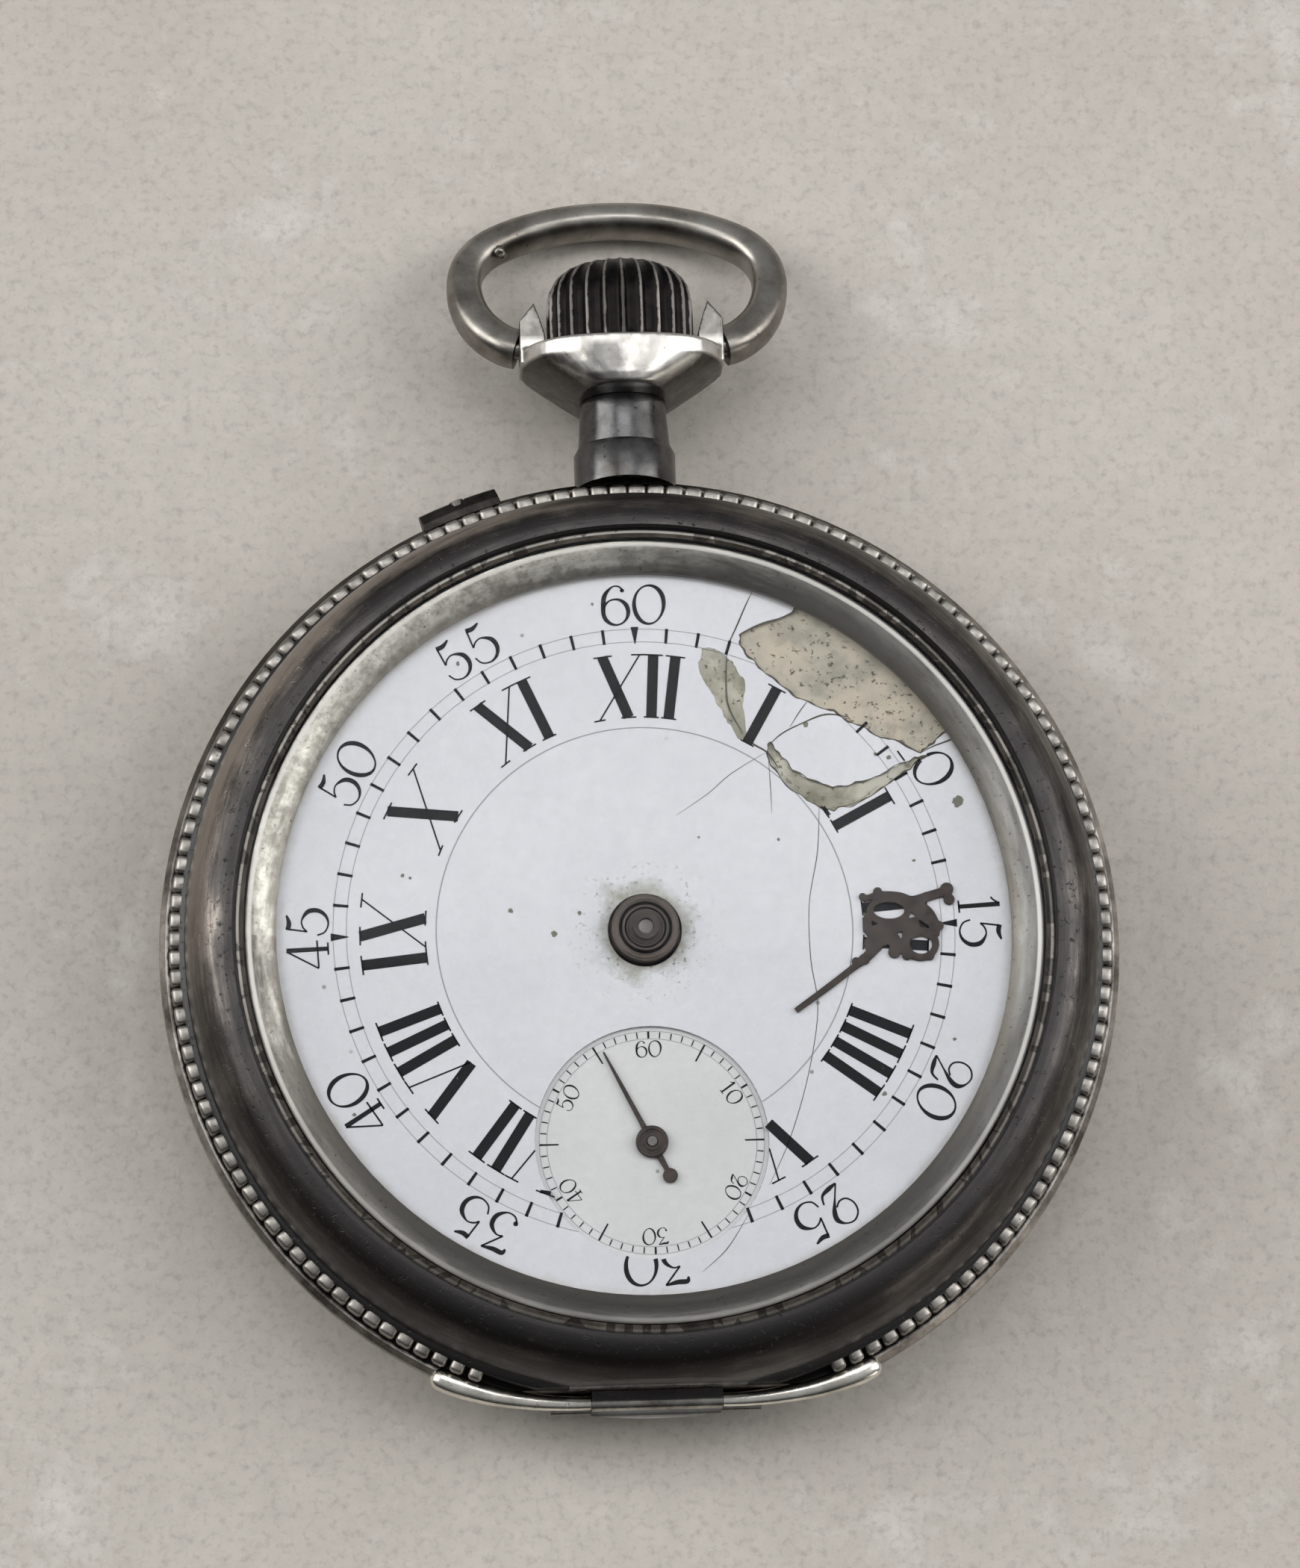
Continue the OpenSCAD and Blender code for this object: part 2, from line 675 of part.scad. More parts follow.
module ratchet_wheel() {
    color("lightgray") difference() {
        at(barrel_at, 2.05) rotate([0, 0, bearing(barrel_at, crown_wheel_at)])
            linear_extrude(0.4) wheel_outline(ratchet_teeth[0], ratchet_module);
        disc(barrel_at, 0.8, 1, 3);
    }
}

module ratchet_screw() {
    color("steelblue") difference() {
        disc(barrel_at, 1.3, 1.87, 2.05);
        at(barrel_at, 1.8) translate([-2, -0.12, 0]) cube([4, 0.24, 0.15]);
    }
}

contrate_teeth = 24;
module crown_wheel() {
    face = bearing(crown_wheel_at, barrel_at) + 180 / ratchet_teeth[1];
    tooth = 360 / contrate_teeth;
    color("lightgray") at(crown_wheel_at) difference() {
        union() {
            translate([0, 0, 2.05]) rotate([0, 0, face]) linear_extrude(0.4)
                wheel_outline(ratchet_teeth[1], ratchet_module);
            disc([0, 0], 3.35, 2.45, 3.2);
            for (i = [0 : contrate_teeth - 1])
                arc_block(2.6, 3.3, 3.1, 3.58, 90 + tooth * (i + 0.5 - 0.15), tooth * 0.3);
        }
        disc([0, 0], 0.6 + run, 1, 4);
        disc([0, 0], 2.3, 2.6, 4);
    }
}

module crown_wheel_stud() {
    color("steelblue") union() {
        disc(crown_wheel_at, 0.6, 2.03, 7.2);
        disc(crown_wheel_at, 1.4, 1.87, 2.03);
    }
}

module click() {
    color("lightgray") union() {
        disc(click_at, 0.32, 2.05, 3.3);
        disc(click_at, 0.7, 2.05, 2.45);
        at(click_at, 2.05) rotate([0, 0, 78]) translate([-0.3, 0, 0]) linear_extrude(0.4)
            polygon([[0, 0.42], [1.3, 0.95], [2.2, 1.5], [2.4, 1.3], [1.6, 0.3], [0, -0.4]]);
    }
}

module click_spring() {
    color("steelblue") at(barrel_at) {
        arc_block(8.35, 8.55, 2.1, 2.4, -50, 30);
        arc_block(8.1, 8.8, 2.1, bridge_low, -54, 5);
    }
}

// ---------- going train ----------

centre_wheel_low = 3.75;
third_wheel_low = 4.95;
fourth_wheel_low = 4.35;
escape_wheel_low = 5.15;

module centre_wheel() {
    color("gold") train_wheel(centre_at, centre_teeth[0], centre_module, bearing(centre_at, third_at),
        centre_wheel_low, centre_wheel_low + wheel_t, 0.75, 1.5, 5.6, 5, 0);
}

module centre_arbor() {
    color("lightgray") union() {
        disc(centre_at, 0.4, bridge_low + 0.1, centre_wheel_low);
        disc(centre_at, 0.75, centre_wheel_low, 7.25);
        pinion(centre_at, barrel_teeth[1], barrel_module, bearing(barrel_at, centre_at), 5.6, 6.2);
        disc(centre_at, 0.38, 7.25, 10.05);
    }
}

module third_wheel() {
    color("gold") train_wheel(third_at, third_teeth[0], third_module, bearing(third_at, fourth_at),
        third_wheel_low, third_wheel_low + wheel_t, 0.3, 0.9, 4.2, 5, 20);
}

module third_pinion() {
    color("lightgray") union() {
        disc(third_at, pivot_r, bridge_low + 0.1, plate_high - 0.1);
        disc(third_at, 0.3, bridge_high + 0.05, plate_low - 0.05);
        pinion(third_at, centre_teeth[1], centre_module, bearing(centre_at, third_at), 3.6, 4.15);
    }
}

module fourth_wheel() {
    color("gold") train_wheel(fourth_at, fourth_teeth[0], fourth_module, bearing(fourth_at, escape_at),
        fourth_wheel_low, fourth_wheel_low + wheel_t, 0.3, 0.9, 3.9, 5, 30);
}

module fourth_pinion() {
    color("lightgray") union() {
        disc(fourth_at, pivot_r, bridge_low + 0.1, bridge_high + 0.05);
        disc(fourth_at, 0.3, bridge_high + 0.05, plate_low - 0.05);
        disc(fourth_at, 0.25, plate_low - 0.05, 9.2);
        pinion(fourth_at, third_teeth[1], third_module, bearing(third_at, fourth_at), 4.8, 5.35);
    }
}

// The seconds hand points to the 55.6 second mark
seconds_turn = 26.4;
module seconds_hand() {
    ahead = [-sin(seconds_turn), cos(seconds_turn)];
    color("saddlebrown") difference() {
        union() {
            disc(fourth_at, 0.85, dial_z - 0.12, dial_z + 0.1);
            bar(fourth_at, fourth_at + 5.35 * ahead, 0.24, dial_z - 0.08, dial_z + 0.04);
            bar(fourth_at, fourth_at - 1.9 * ahead, 0.3, dial_z - 0.08, dial_z + 0.04);
            disc(fourth_at - 2 * ahead, 0.4, dial_z - 0.1, dial_z + 0.06);
        }
        disc(fourth_at, 0.25, 8, 10);
    }
}

escape_count = 15;
escape_r = 2.55;
module escape_wheel() {
    step = 360 / escape_count;
    color("gold") at(escape_at) difference() {
        translate([0, 0, escape_wheel_low]) linear_extrude(wheel_t)
            polygon([for (i = [0 : escape_count - 1]) for (k = [[0, 1.95], [7, escape_r], [11, escape_r - 0.1],
                [9, 1.95]]) k[1] * [cos(step * i + k[0]), sin(step * i + k[0])]]);
        disc([0, 0], 0.25, 4, 7);
        for (i = [0 : 3]) arc_block(0.7, 1.6, 4, 7, i * 90 + 12, 66);
    }
}

module escape_pinion() {
    color("lightgray") union() {
        disc(escape_at, pivot_r, bridge_low + 0.1, plate_high - 0.1);
        disc(escape_at, 0.25, bridge_high + 0.05, plate_low - 0.05);
        pinion(escape_at, fourth_teeth[1], fourth_module, bearing(fourth_at, escape_at), 4.15, 4.75);
    }
}

// Anchor and fork in one piece; its stones stand just clear of the tooth tips
module pallet_fork() {
    toward_balance = bearing(pallet_at, balance_at);
    toward_escape = bearing(pallet_at, escape_at);
    low = escape_wheel_low;
    color("gainsboro") union() {
        disc(pallet_at, pivot_r, bridge_low + 0.1, plate_high - 0.1);
        disc(pallet_at, 0.25, bridge_high + 0.05, plate_low - 0.05);
        at(pallet_at) {
            disc([0, 0], 0.42, low, low + wheel_t);
            rotate([0, 0, toward_balance]) translate([0, -0.15, low]) cube([4.1, 0.3, wheel_t]);
            rotate([0, 0, toward_balance]) for (k = [-1, 1])
                translate([4, k * 0.3 - 0.11, low]) cube([0.95, 0.22, wheel_t]);
            rotate([0, 0, toward_balance]) translate([3.85, -0.41, low]) cube([0.25, 0.82, wheel_t]);
            for (k = [-1, 1]) rotate([0, 0, toward_escape + k * 90])
                translate([0, -0.16, low]) cube([2.1, 0.32, wheel_t]);
            for (k = [-1, 1]) rotate([0, 0, toward_escape]) translate([-0.16, k * 1.94 - 0.16, low])
                cube([1.11, 0.32, wheel_t]);
        }
    }
}

module balance_wheel() {
    color("gold") at(balance_at) difference() {
        union() {
            difference() {
                disc([0, 0], 4.8, 4.45, 5);
                disc([0, 0], 4.1, 4, 6);
            }
            disc([0, 0], 0.8, 4.6, 4.9);
            for (a = [0, 120, 240]) rotate([0, 0, a + 20]) translate([0.4, -0.25, 4.6]) cube([4, 0.5, 0.3]);
            for (a = [0 : 30 : 330]) rotate([0, 0, a + 5]) translate([4.7, 0, 4.72]) rotate([0, 90, 0])
                cylinder(r = 0.22, h = 0.4, $fn = 24);
        }
        disc([0, 0], 0.3, 4, 6);
    }
}

module balance_staff() {
    toward_fork = bearing(balance_at, pallet_at);
    color("lightgray") union() {
        disc(balance_at, pivot_r, bridge_low + 0.1, plate_high - 0.1);
        disc(balance_at, 0.3, bridge_high + 0.05, plate_low - 0.05);
        disc(balance_at, 1.05, 5.65, 5.9);
        disc(balance_at + 0.8 * [cos(toward_fork), sin(toward_fork)], 0.13, 5.46, 5.65);
    }
}

module hairspring() {
    color("steelblue") at(balance_at) spiral(0.55, 2.7, 8, 0.06, 3.75, 3.95, 20);
}

// ---------- motion work under the dial ----------

cannon_module = 0.16667;
minute_module = 0.16;
cannon_count = [12, 36];
minute_count = [10, 40];

module cannon_pinion() {
    color("dimgray") difference() {
        union() {
            disc(centre_at, 0.9, 7.32, 9.75);
            disc(centre_at, 0.7, 9.75, 10.25);
            at(centre_at, 7.35) rotate([0, 0, bearing(centre_at, minute_at) + 180 / cannon_count[0]])
                linear_extrude(0.3) pinion_outline(cannon_count[0], cannon_module);
        }
        disc(centre_at, 0.38 + run, 7, 11);
    }
}

module minute_wheel() {
    color("gold") difference() {
        union() {
            at(minute_at, 7.35) rotate([0, 0, bearing(minute_at, centre_at)])
                linear_extrude(0.3) wheel_outline(cannon_count[1], cannon_module);
            at(minute_at, 7.65) rotate([0, 0, bearing(minute_at, centre_at) + 180 / minute_count[0]])
                linear_extrude(0.35) pinion_outline(minute_count[0], minute_module);
        }
        disc(minute_at, 0.4 + run, 7, 9);
    }
}

module hour_wheel() {
    color("saddlebrown") difference() {
        union() {
            at(centre_at, 7.75) rotate([0, 0, bearing(centre_at, minute_at)])
                linear_extrude(0.22) wheel_outline(minute_count[1], minute_module);
            disc(centre_at, 1.77, 7.75, 9.72);
        }
        disc(centre_at, 0.9 + run, 7, 11);
    }
}

case_middle();
hinge_bracket();
cuvette_hinge_lugs();
bezel_hinge_pin();
back_hinge_pin();
cuvette_hinge_pin();
bezel();
crystal();
case_back();
cuvette();
pendant_neck();
pendant_head();
bow();
bow_pins();
crown();
winding_stem();
winding_pinion();
pusher_guard();
setting_pusher();
pusher_spring();
dial_ring();
dial();
seconds_dial();
main_plate();
barrel_bridge();
train_bridge();
escape_cock();
pallet_cock();
balance_cock();
bridge_screws();
train_jewels();
regulator();
barrel_drum();
barrel_cover();
mainspring();
barrel_arbor();
ratchet_wheel();
ratchet_screw();
crown_wheel();
crown_wheel_stud();
click();
click_spring();
centre_wheel();
centre_arbor();
third_wheel();
third_pinion();
fourth_wheel();
fourth_pinion();
seconds_hand();
escape_wheel();
escape_pinion();
pallet_fork();
balance_wheel();
balance_staff();
hairspring();
cannon_pinion();
hour_wheel();
minute_wheel();
minute_hand_fragment();
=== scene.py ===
import json
import random
from math import atan2, cos, hypot, pi, radians, sin

import bmesh
import bpy
from mathutils import Matrix, Vector, noise

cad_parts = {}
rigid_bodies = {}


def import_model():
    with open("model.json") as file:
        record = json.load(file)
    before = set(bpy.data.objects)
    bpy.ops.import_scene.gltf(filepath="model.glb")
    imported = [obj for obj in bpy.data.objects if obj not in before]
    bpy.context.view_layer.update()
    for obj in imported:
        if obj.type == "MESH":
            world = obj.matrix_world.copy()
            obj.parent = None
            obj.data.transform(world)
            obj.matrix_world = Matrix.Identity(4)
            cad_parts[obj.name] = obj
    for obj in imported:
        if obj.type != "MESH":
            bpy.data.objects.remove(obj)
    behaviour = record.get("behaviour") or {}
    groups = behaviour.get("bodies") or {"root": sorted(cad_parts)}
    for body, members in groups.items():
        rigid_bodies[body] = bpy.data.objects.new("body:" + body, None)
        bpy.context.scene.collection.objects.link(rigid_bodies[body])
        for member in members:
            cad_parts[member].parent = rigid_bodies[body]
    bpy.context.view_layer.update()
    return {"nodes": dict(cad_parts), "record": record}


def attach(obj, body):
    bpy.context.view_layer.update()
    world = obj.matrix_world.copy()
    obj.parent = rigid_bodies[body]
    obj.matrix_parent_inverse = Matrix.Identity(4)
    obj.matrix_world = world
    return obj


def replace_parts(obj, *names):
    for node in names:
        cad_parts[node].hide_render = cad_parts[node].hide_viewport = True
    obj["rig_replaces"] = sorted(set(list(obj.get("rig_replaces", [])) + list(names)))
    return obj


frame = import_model()
MM = 0.001
dice = random.Random(7)

# Places and sizes in millimetres: z is up from the face that the watch rests on, y toward the bow
DIAL_Z = 9.0
SECONDS_Z = 8.75
SECONDS_Y = -11.2
SECONDS_R = 6.12
STEM_Z = 5.05
BOW_Y = 33.2
BOW_LEAN = radians(23)
CROWN_BASE_Y = 32.78
CROWN_FLUTES = 24
EAR_DEEP = 3.1
BEZEL_PIN = (0, -24.25, 5.25)
KNUCKLE_LONG = 6.8
KNUCKLE_R = 0.44
BEAD_RING_R = 24.48
BEAD_Z = 6.45
BEADS = 152
PRINT_THICK = 0.012
HAND_TURN = 26.4
OVAL_NODES = 12
RAGGED_REACH = 0.09


# ---------- materials ----------

class Finish:
    """A material under construction: its node tree, its main shader and short ways to wire them."""

    def __init__(self, name):
        self.material = bpy.data.materials.new(name)
        self.material.use_nodes = True
        self.tree = self.material.node_tree
        self.shader = self.tree.nodes["Principled BSDF"]
        self.place = self.tree.nodes.new("ShaderNodeTexCoord").outputs["Object"]

    def add(self, kind, settings=(), **inputs):
        made = self.tree.nodes.new("ShaderNode" + kind)
        for key, value in dict(settings).items():
            setattr(made, key, value)
        for key, value in inputs.items():
            socket = made.inputs[int(key[1:])] if key[0] == "i" and key[1:].isdigit() else made.inputs[key]
            if isinstance(value, bpy.types.NodeSocket):
                self.tree.links.new(value, socket)
            else:
                socket.default_value = value
        return made

    def set(self, **values):
        for key, value in values.items():
            socket = self.shader.inputs[key.replace("_", " ")]
            if isinstance(value, bpy.types.NodeSocket):
                self.tree.links.new(value, socket)
            else:
                socket.default_value = value
        return self

    def stretched(self, squash, turn=(0, 0, 0)):
        made = self.add("Mapping", Vector=self.place)
        made.inputs["Scale"].default_value = squash
        made.inputs["Rotation"].default_value = turn
        return made.outputs["Vector"]

    def grain(self, size, detail=4, rough=0.55, where=None):
        """Noise whose lumps are about size millimetres across, from 0 to 1."""
        return self.add("TexNoise", Vector=where or self.place, Scale=0.6 / (size * MM), Detail=detail,
                        Roughness=rough).outputs["Fac"]

    def ramp(self, value, stops):
        made = self.add("ValToRGB", i0=value)
        band = made.color_ramp
        while len(band.elements) < len(stops):
            band.elements.new(0.5)
        for element, (at, colour) in zip(band.elements, stops):
            element.position = at
            element.color = colour if len(colour) == 4 else (*colour, 1)
        return made.outputs["Color"]

    def level(self, value, low, high, out_low=0.0, out_high=1.0):
        made = self.add("MapRange", i0=value, i1=low, i2=high, i3=out_low, i4=out_high)
        return made.outputs[0]

    def mix(self, share, first, second):
        made = self.tree.nodes.new("ShaderNodeMix")
        made.data_type = "RGBA"
        for socket, value in ((made.inputs[0], share), (made.inputs[6], first), (made.inputs[7], second)):
            if isinstance(value, bpy.types.NodeSocket):
                self.tree.links.new(value, socket)
            else:
                opaque = isinstance(value, tuple) and len(value) == 3
                socket.default_value = (*value, 1) if opaque else value
        return made.outputs[2]

    def math(self, kind, first, second=0.0):
        return self.add("Math", {"operation": kind}, i0=first, i1=second).outputs[0]

    def times(self, first, second):
        return self.math("MULTIPLY", first, second)

    def plus(self, first, second):
        return self.math("ADD", first, second)

    def cosine(self, angle):
        return self.math("COSINE", angle)

    def around(self, centre=(0, 0, 0), tilt=(0, 0, 0)):
        """Distance in millimetres from an upright line through a point, and the height over it."""
        moved = self.add("Mapping", {"vector_type": "POINT"}, Vector=self.place)
        moved.inputs["Location"].default_value = [-c * MM for c in centre]
        turned = self.add("VectorRotate", {"rotation_type": "EULER_XYZ"}, Vector=moved.outputs[0])
        turned.inputs["Rotation"].default_value = tilt
        parts = self.add("SeparateXYZ", Vector=turned.outputs[0])
        flat = self.add("CombineXYZ", X=parts.outputs[0], Y=parts.outputs[1])
        length = self.add("VectorMath", {"operation": "LENGTH"}, i0=flat.outputs[0])
        return (self.math("DIVIDE", length.outputs["Value"], MM), self.math("DIVIDE", parts.outputs[2], MM),
                self.math("ARCTAN2", parts.outputs[1], parts.outputs[0]))

    def rough_bump(self, height, depth, strength=1.0):
        made = self.add("Bump", Height=height, Distance=depth * MM, Strength=strength)
        self.tree.links.new(made.outputs[0], self.shader.inputs["Normal"])


def worn_silver(name, bright, dull, dirt, rough=(0.22, 0.42), patch=2.5, scratch=0.004):
    """Old silver: cloudy tarnish, grime in specks and fine scratches in two directions."""
    f = Finish(name)
    cloud = f.grain(patch, 8, 0.62)
    tone = f.ramp(cloud, [(0.36, dull), (0.62, bright)])
    specks = f.level(f.grain(0.22, 3, 0.7), 0.64, 0.76)
    tone = f.mix(specks, tone, dirt)
    streak = f.grain(0.06, 2, 0.5, f.stretched((1, 0.06, 1), (0.2, 0.1, 0.7)))
    cross = f.grain(0.05, 2, 0.5, f.stretched((0.05, 1, 1), (0.1, 0.3, -0.4)))
    marks = f.plus(f.level(streak, 0.6, 0.75), f.level(cross, 0.62, 0.78))
    f.set(Base_Color=tone, Metallic=1.0, Roughness=f.level(f.grain(patch * 0.4, 6, 0.6), 0.3, 0.7, *rough))
    f.rough_bump(f.math("SUBTRACT", f.grain(patch * 0.3, 5), f.times(marks, 0.3)), scratch)
    return f


def clean_metal(name, colour, dark, rough=0.3):
    """Machined metal with a directional grain and a little staining."""
    f = Finish(name)
    grain = f.grain(0.05, 3, 0.5, f.stretched((1, 0.08, 1)))
    f.set(Base_Color=f.mix(f.level(f.grain(1.2, 6), 0.35, 0.7), colour, dark), Metallic=1.0,
          Roughness=f.level(grain, 0.3, 0.7, rough * 0.75, rough * 1.3))
    f.rough_bump(grain, 0.002)
    return f


def gilt(name, colour, dark):
    """Frosted and gilded brass."""
    f = Finish(name)
    frost = f.grain(0.07, 4, 0.7)
    f.set(Base_Color=f.mix(f.level(f.grain(2.2, 7), 0.38, 0.72), colour, dark), Metallic=1.0,
          Roughness=f.level(frost, 0.3, 0.7, 0.32, 0.5))
    f.rough_bump(frost, 0.006)
    return f


def bezel_silver():
    """The bezel's face: black with tarnish and streaks, pitted near the glass; painted light makes the crest
    lighter and browner towards the upper left, painted shade darkens the bottom, the glass seat and the
    gaps, and a painted highlight runs along the glass rim.
    """
    f = Finish("bezel_tarnish_and_shading")
    r, z, turn = f.around()
    polar = f.add("CombineXYZ", X=f.times(r, 2.2), Y=f.times(turn, 3.5),
                  Z=f.times(z, 0.8)).outputs[0]
    streak = f.add("TexNoise", Vector=polar, Scale=1.6, Detail=9, Roughness=0.68,
                   Distortion=0.3).outputs["Fac"]
    patch = f.add("TexNoise", Vector=f.place, Scale=230.0, Detail=8, Roughness=0.62).outputs["Fac"]
    streak = f.plus(f.times(streak, 0.5), f.times(patch, 0.5))
    tone = f.ramp(streak, [(0.38, (0.03, 0.027, 0.026)), (0.5, (0.085, 0.076, 0.07)),
                           (0.62, (0.21, 0.188, 0.168))])
    # Painted shade: the face is darker towards the bottom.
    low = f.level(f.cosine(f.plus(turn, pi / 2)), 0.1, 0.75)
    tone = f.mix(f.times(low, 0.72), tone, (0.035, 0.031, 0.031))
    # Painted light: the crest is lighter and browner towards the upper left.
    upper_left_light = f.times(f.level(f.cosine(f.math("SUBTRACT", turn, radians(138))), 0.62, 0.92),
                    f.level(f.plus(r, f.level(streak, 0.35, 0.65, -0.5, 0.5)), 22.5, 23.3))
    tone = f.mix(f.times(upper_left_light, 0.62), tone, (0.4, 0.352, 0.31))
    inner = f.level(f.plus(r, f.level(f.grain(1.1, 5), 0.3, 0.7, -0.3, 0.3)), 22.1, 22.9, 1, 0)
    tone = f.mix(f.times(inner, 0.78), tone, (0.045, 0.043, 0.044))
    pits = f.level(f.grain(0.2, 3, 0.75), 0.6, 0.72)
    tone = f.mix(f.times(pits, f.level(inner, 0, 1, 0.2, 0.85)), tone, (0.015, 0.013, 0.012))
    bright = f.level(f.grain(0.12, 3, 0.8), 0.7, 0.8)
    tone = f.mix(f.times(bright, 0.4), tone, (0.5, 0.48, 0.45))
    # Painted shade: dark in the glass seat under the glass edge.
    seat = f.level(r, 21.38, 21.42, 1, 0)
    tone = f.mix(seat, tone, f.mix(f.level(f.grain(0.5, 6, 0.7), 0.3, 0.7), (0.02, 0.017, 0.014),
                                   (0.07, 0.06, 0.05)))
    # Painted highlight: a bright strip where the glass rim catches light, faint towards the bottom.
    strip = f.times(f.level(r, 21.16, 21.2), f.level(r, 21.3, 21.34, 1, 0))
    tone = f.mix(f.times(strip, f.level(low, 0, 1, 0.9, 0.15)), tone, (0.32, 0.305, 0.28))
    # Painted shade: black in the gap between the bezel's lip and the glass, and on the outer flange behind
    # the beads.
    line = f.times(f.level(r, 21.35, 21.38), f.level(r, 21.5, 21.56, 1, 0))
    rim = f.level(f.plus(r, f.level(f.grain(0.3, 4), 0.3, 0.7, -0.08, 0.08)), 23.93, 24.08)
    gap_shade = f.math("MAXIMUM", rim, line)
    tone = f.mix(gap_shade, tone, (0.008, 0.007, 0.007))
    f.set(Base_Color=tone, Metallic=f.level(gap_shade, 0, 1, 1.0, 0.2),
          Roughness=f.level(streak, 0.3, 0.7, 0.46, 0.3))
    f.rough_bump(f.plus(streak, f.times(pits, -0.8)), 0.02)
    return f


def dial_ring_silver():
    """The sloping ring between glass and dial, coloured with painted light: bright and yellowish at upper
    left, lighter grey at right, painted shade below and under the bezel's lip, a painted highlight on its
    ridge.
    """
    f = Finish("dial_ring_silver")
    r, z, turn = f.around()
    polar = f.add("CombineXYZ", X=r, Y=f.times(turn, 4), Z=z).outputs[0]
    cloud = f.add("TexNoise", Vector=polar, Scale=1.1, Detail=9, Roughness=0.7).outputs["Fac"]
    soft = f.level(cloud, 0.3, 0.7, -0.25, 0.25)
    # Painted highlight: bright and yellowish towards the upper left.
    upper_left_sheen = f.level(f.plus(f.cosine(f.math("SUBTRACT", turn, radians(135))), soft), 0.45, 0.95)
    # Painted light: a lighter grey towards the right.
    wear_and_sheen = f.level(f.plus(f.cosine(turn), soft), 0.6, 1.1, 0, 0.5)
    tone = f.ramp(cloud, [(0.34, (0.12, 0.112, 0.1)), (0.52, (0.2, 0.19, 0.172)), (0.7, (0.3, 0.285, 0.26))])
    tone = f.mix(wear_and_sheen, tone, (0.3, 0.304, 0.302))
    tone = f.mix(f.times(upper_left_sheen, 0.85), tone, f.mix(f.level(f.grain(0.45, 8, 0.7), 0.4, 0.6),
                                                            (0.42, 0.405, 0.35), (0.86, 0.835, 0.755)))
    # Painted shade: darker towards the bottom.
    lower = f.level(f.cosine(f.plus(turn, radians(65))), 0.05, 0.8, 0, 0.62)
    tone = f.mix(lower, tone, (0.07, 0.068, 0.066))
    edge = f.level(f.plus(r, f.level(cloud, 0.3, 0.7, -0.25, 0.25)), 19.45, 19.85, 0.6, 0)
    tone = f.mix(edge, tone, (0.2, 0.185, 0.16))
    pits = f.level(f.grain(0.15, 3, 0.75), 0.62, 0.72)
    tone = f.mix(pits, tone, (0.05, 0.045, 0.04))
    # Painted highlight: a bright line along the ridge, faint towards the bottom.
    ridge_highlight = f.times(f.level(r, 20.5, 20.58), f.level(r, 20.72, 20.78, 1, 0))
    low = f.level(f.cosine(f.plus(turn, pi / 2)), 0.1, 0.8, 0.75, 0.12)
    tone = f.mix(f.times(ridge_highlight, low), tone, (0.8, 0.78, 0.73))
    # Painted shade: dark outside the ridge, under the bezel's lip.
    lip_shade = f.level(r, 20.8, 20.84)
    tone = f.mix(lip_shade, tone, (0.05, 0.045, 0.04))
    f.set(Base_Color=tone, Metallic=f.level(upper_left_sheen, 0, 1, 0.9, 0.75),
          Roughness=f.level(cloud, 0.3, 0.7, 0.5, 0.32))
    f.rough_bump(cloud, 0.03)
    return f


def enamel(name, white, shade, stain_and_edge_shade=True):
    """Fired enamel: glossy, faintly mottled, with tiny black specks and a stain round the hands' hole."""
    f = Finish(name)
    cloud = f.grain(5.0, 6, 0.55)
    tone = f.mix(f.level(cloud, 0.35, 0.7), white, shade)
    fine = f.level(f.grain(0.35, 4, 0.6), 0.35, 0.75, 0.0, 0.35)
    tone = f.mix(fine, tone, tuple(c * 0.86 for c in shade))
    spots = f.add("TexVoronoi", Vector=f.place, Scale=420.0)
    mask = f.times(f.level(spots.outputs["Distance"], 0.035, 0.06, 1, 0),
                 f.level(f.grain(3.0, 2), 0.52, 0.56))
    tone = f.mix(f.times(mask, 0.75), tone, (0.16, 0.15, 0.14))
    if stain_and_edge_shade:
        r = f.around()[0]
        soft = f.plus(r, f.level(f.grain(0.8, 5, 0.7), 0.3, 0.7, -0.7, 0.7))
        halo = f.level(soft, 1.75, 3.0, 0.9, 0.0)
        tone = f.mix(halo, tone, (0.27, 0.265, 0.19))
        splash = f.times(f.level(r, 2.4, 4.6, 1, 0), f.level(f.grain(0.16, 3, 0.7), 0.6, 0.68))
        tone = f.mix(splash, tone, (0.2, 0.2, 0.15))
        # Painted shade: the enamel is darker and browner at its edge beside the ring.
        rim = f.level(f.plus(r, f.level(f.grain(0.9, 5, 0.7), 0.3, 0.7, -0.35, 0.35)), 18.9, 19.5, 0, 0.5)
        tone = f.mix(rim, tone, (0.5, 0.47, 0.39))
    f.set(Base_Color=tone, Roughness=f.level(f.grain(0.5, 4), 0.3, 0.7, 0.2, 0.34), Coat_Weight=0.2,
          Coat_Roughness=0.1)
    f.rough_bump(f.grain(0.6, 4), 0.006)
    return f


def bare_ground(name, dark, middle, light):
    """What is left where the enamel has flaked off: a stained and pitted layer."""
    f = Finish(name)
    cloud = f.grain(2.2, 9, 0.68)
    tone = f.ramp(cloud, [(0.38, dark), (0.48, middle), (0.58, light)])
    wash = f.level(f.grain(1.0, 7, 0.7), 0.5, 0.66, 0, 0.6)
    tone = f.mix(wash, tone, tuple(0.62 * c for c in middle))
    pits = f.level(f.grain(0.2, 3, 0.7), 0.6, 0.68)
    tone = f.mix(pits, tone, (0.12, 0.11, 0.085))
    f.set(Base_Color=tone, Roughness=0.62)
    f.rough_bump(f.plus(f.grain(0.7, 6, 0.7), f.times(pits, -0.6)), 0.06)
    return f


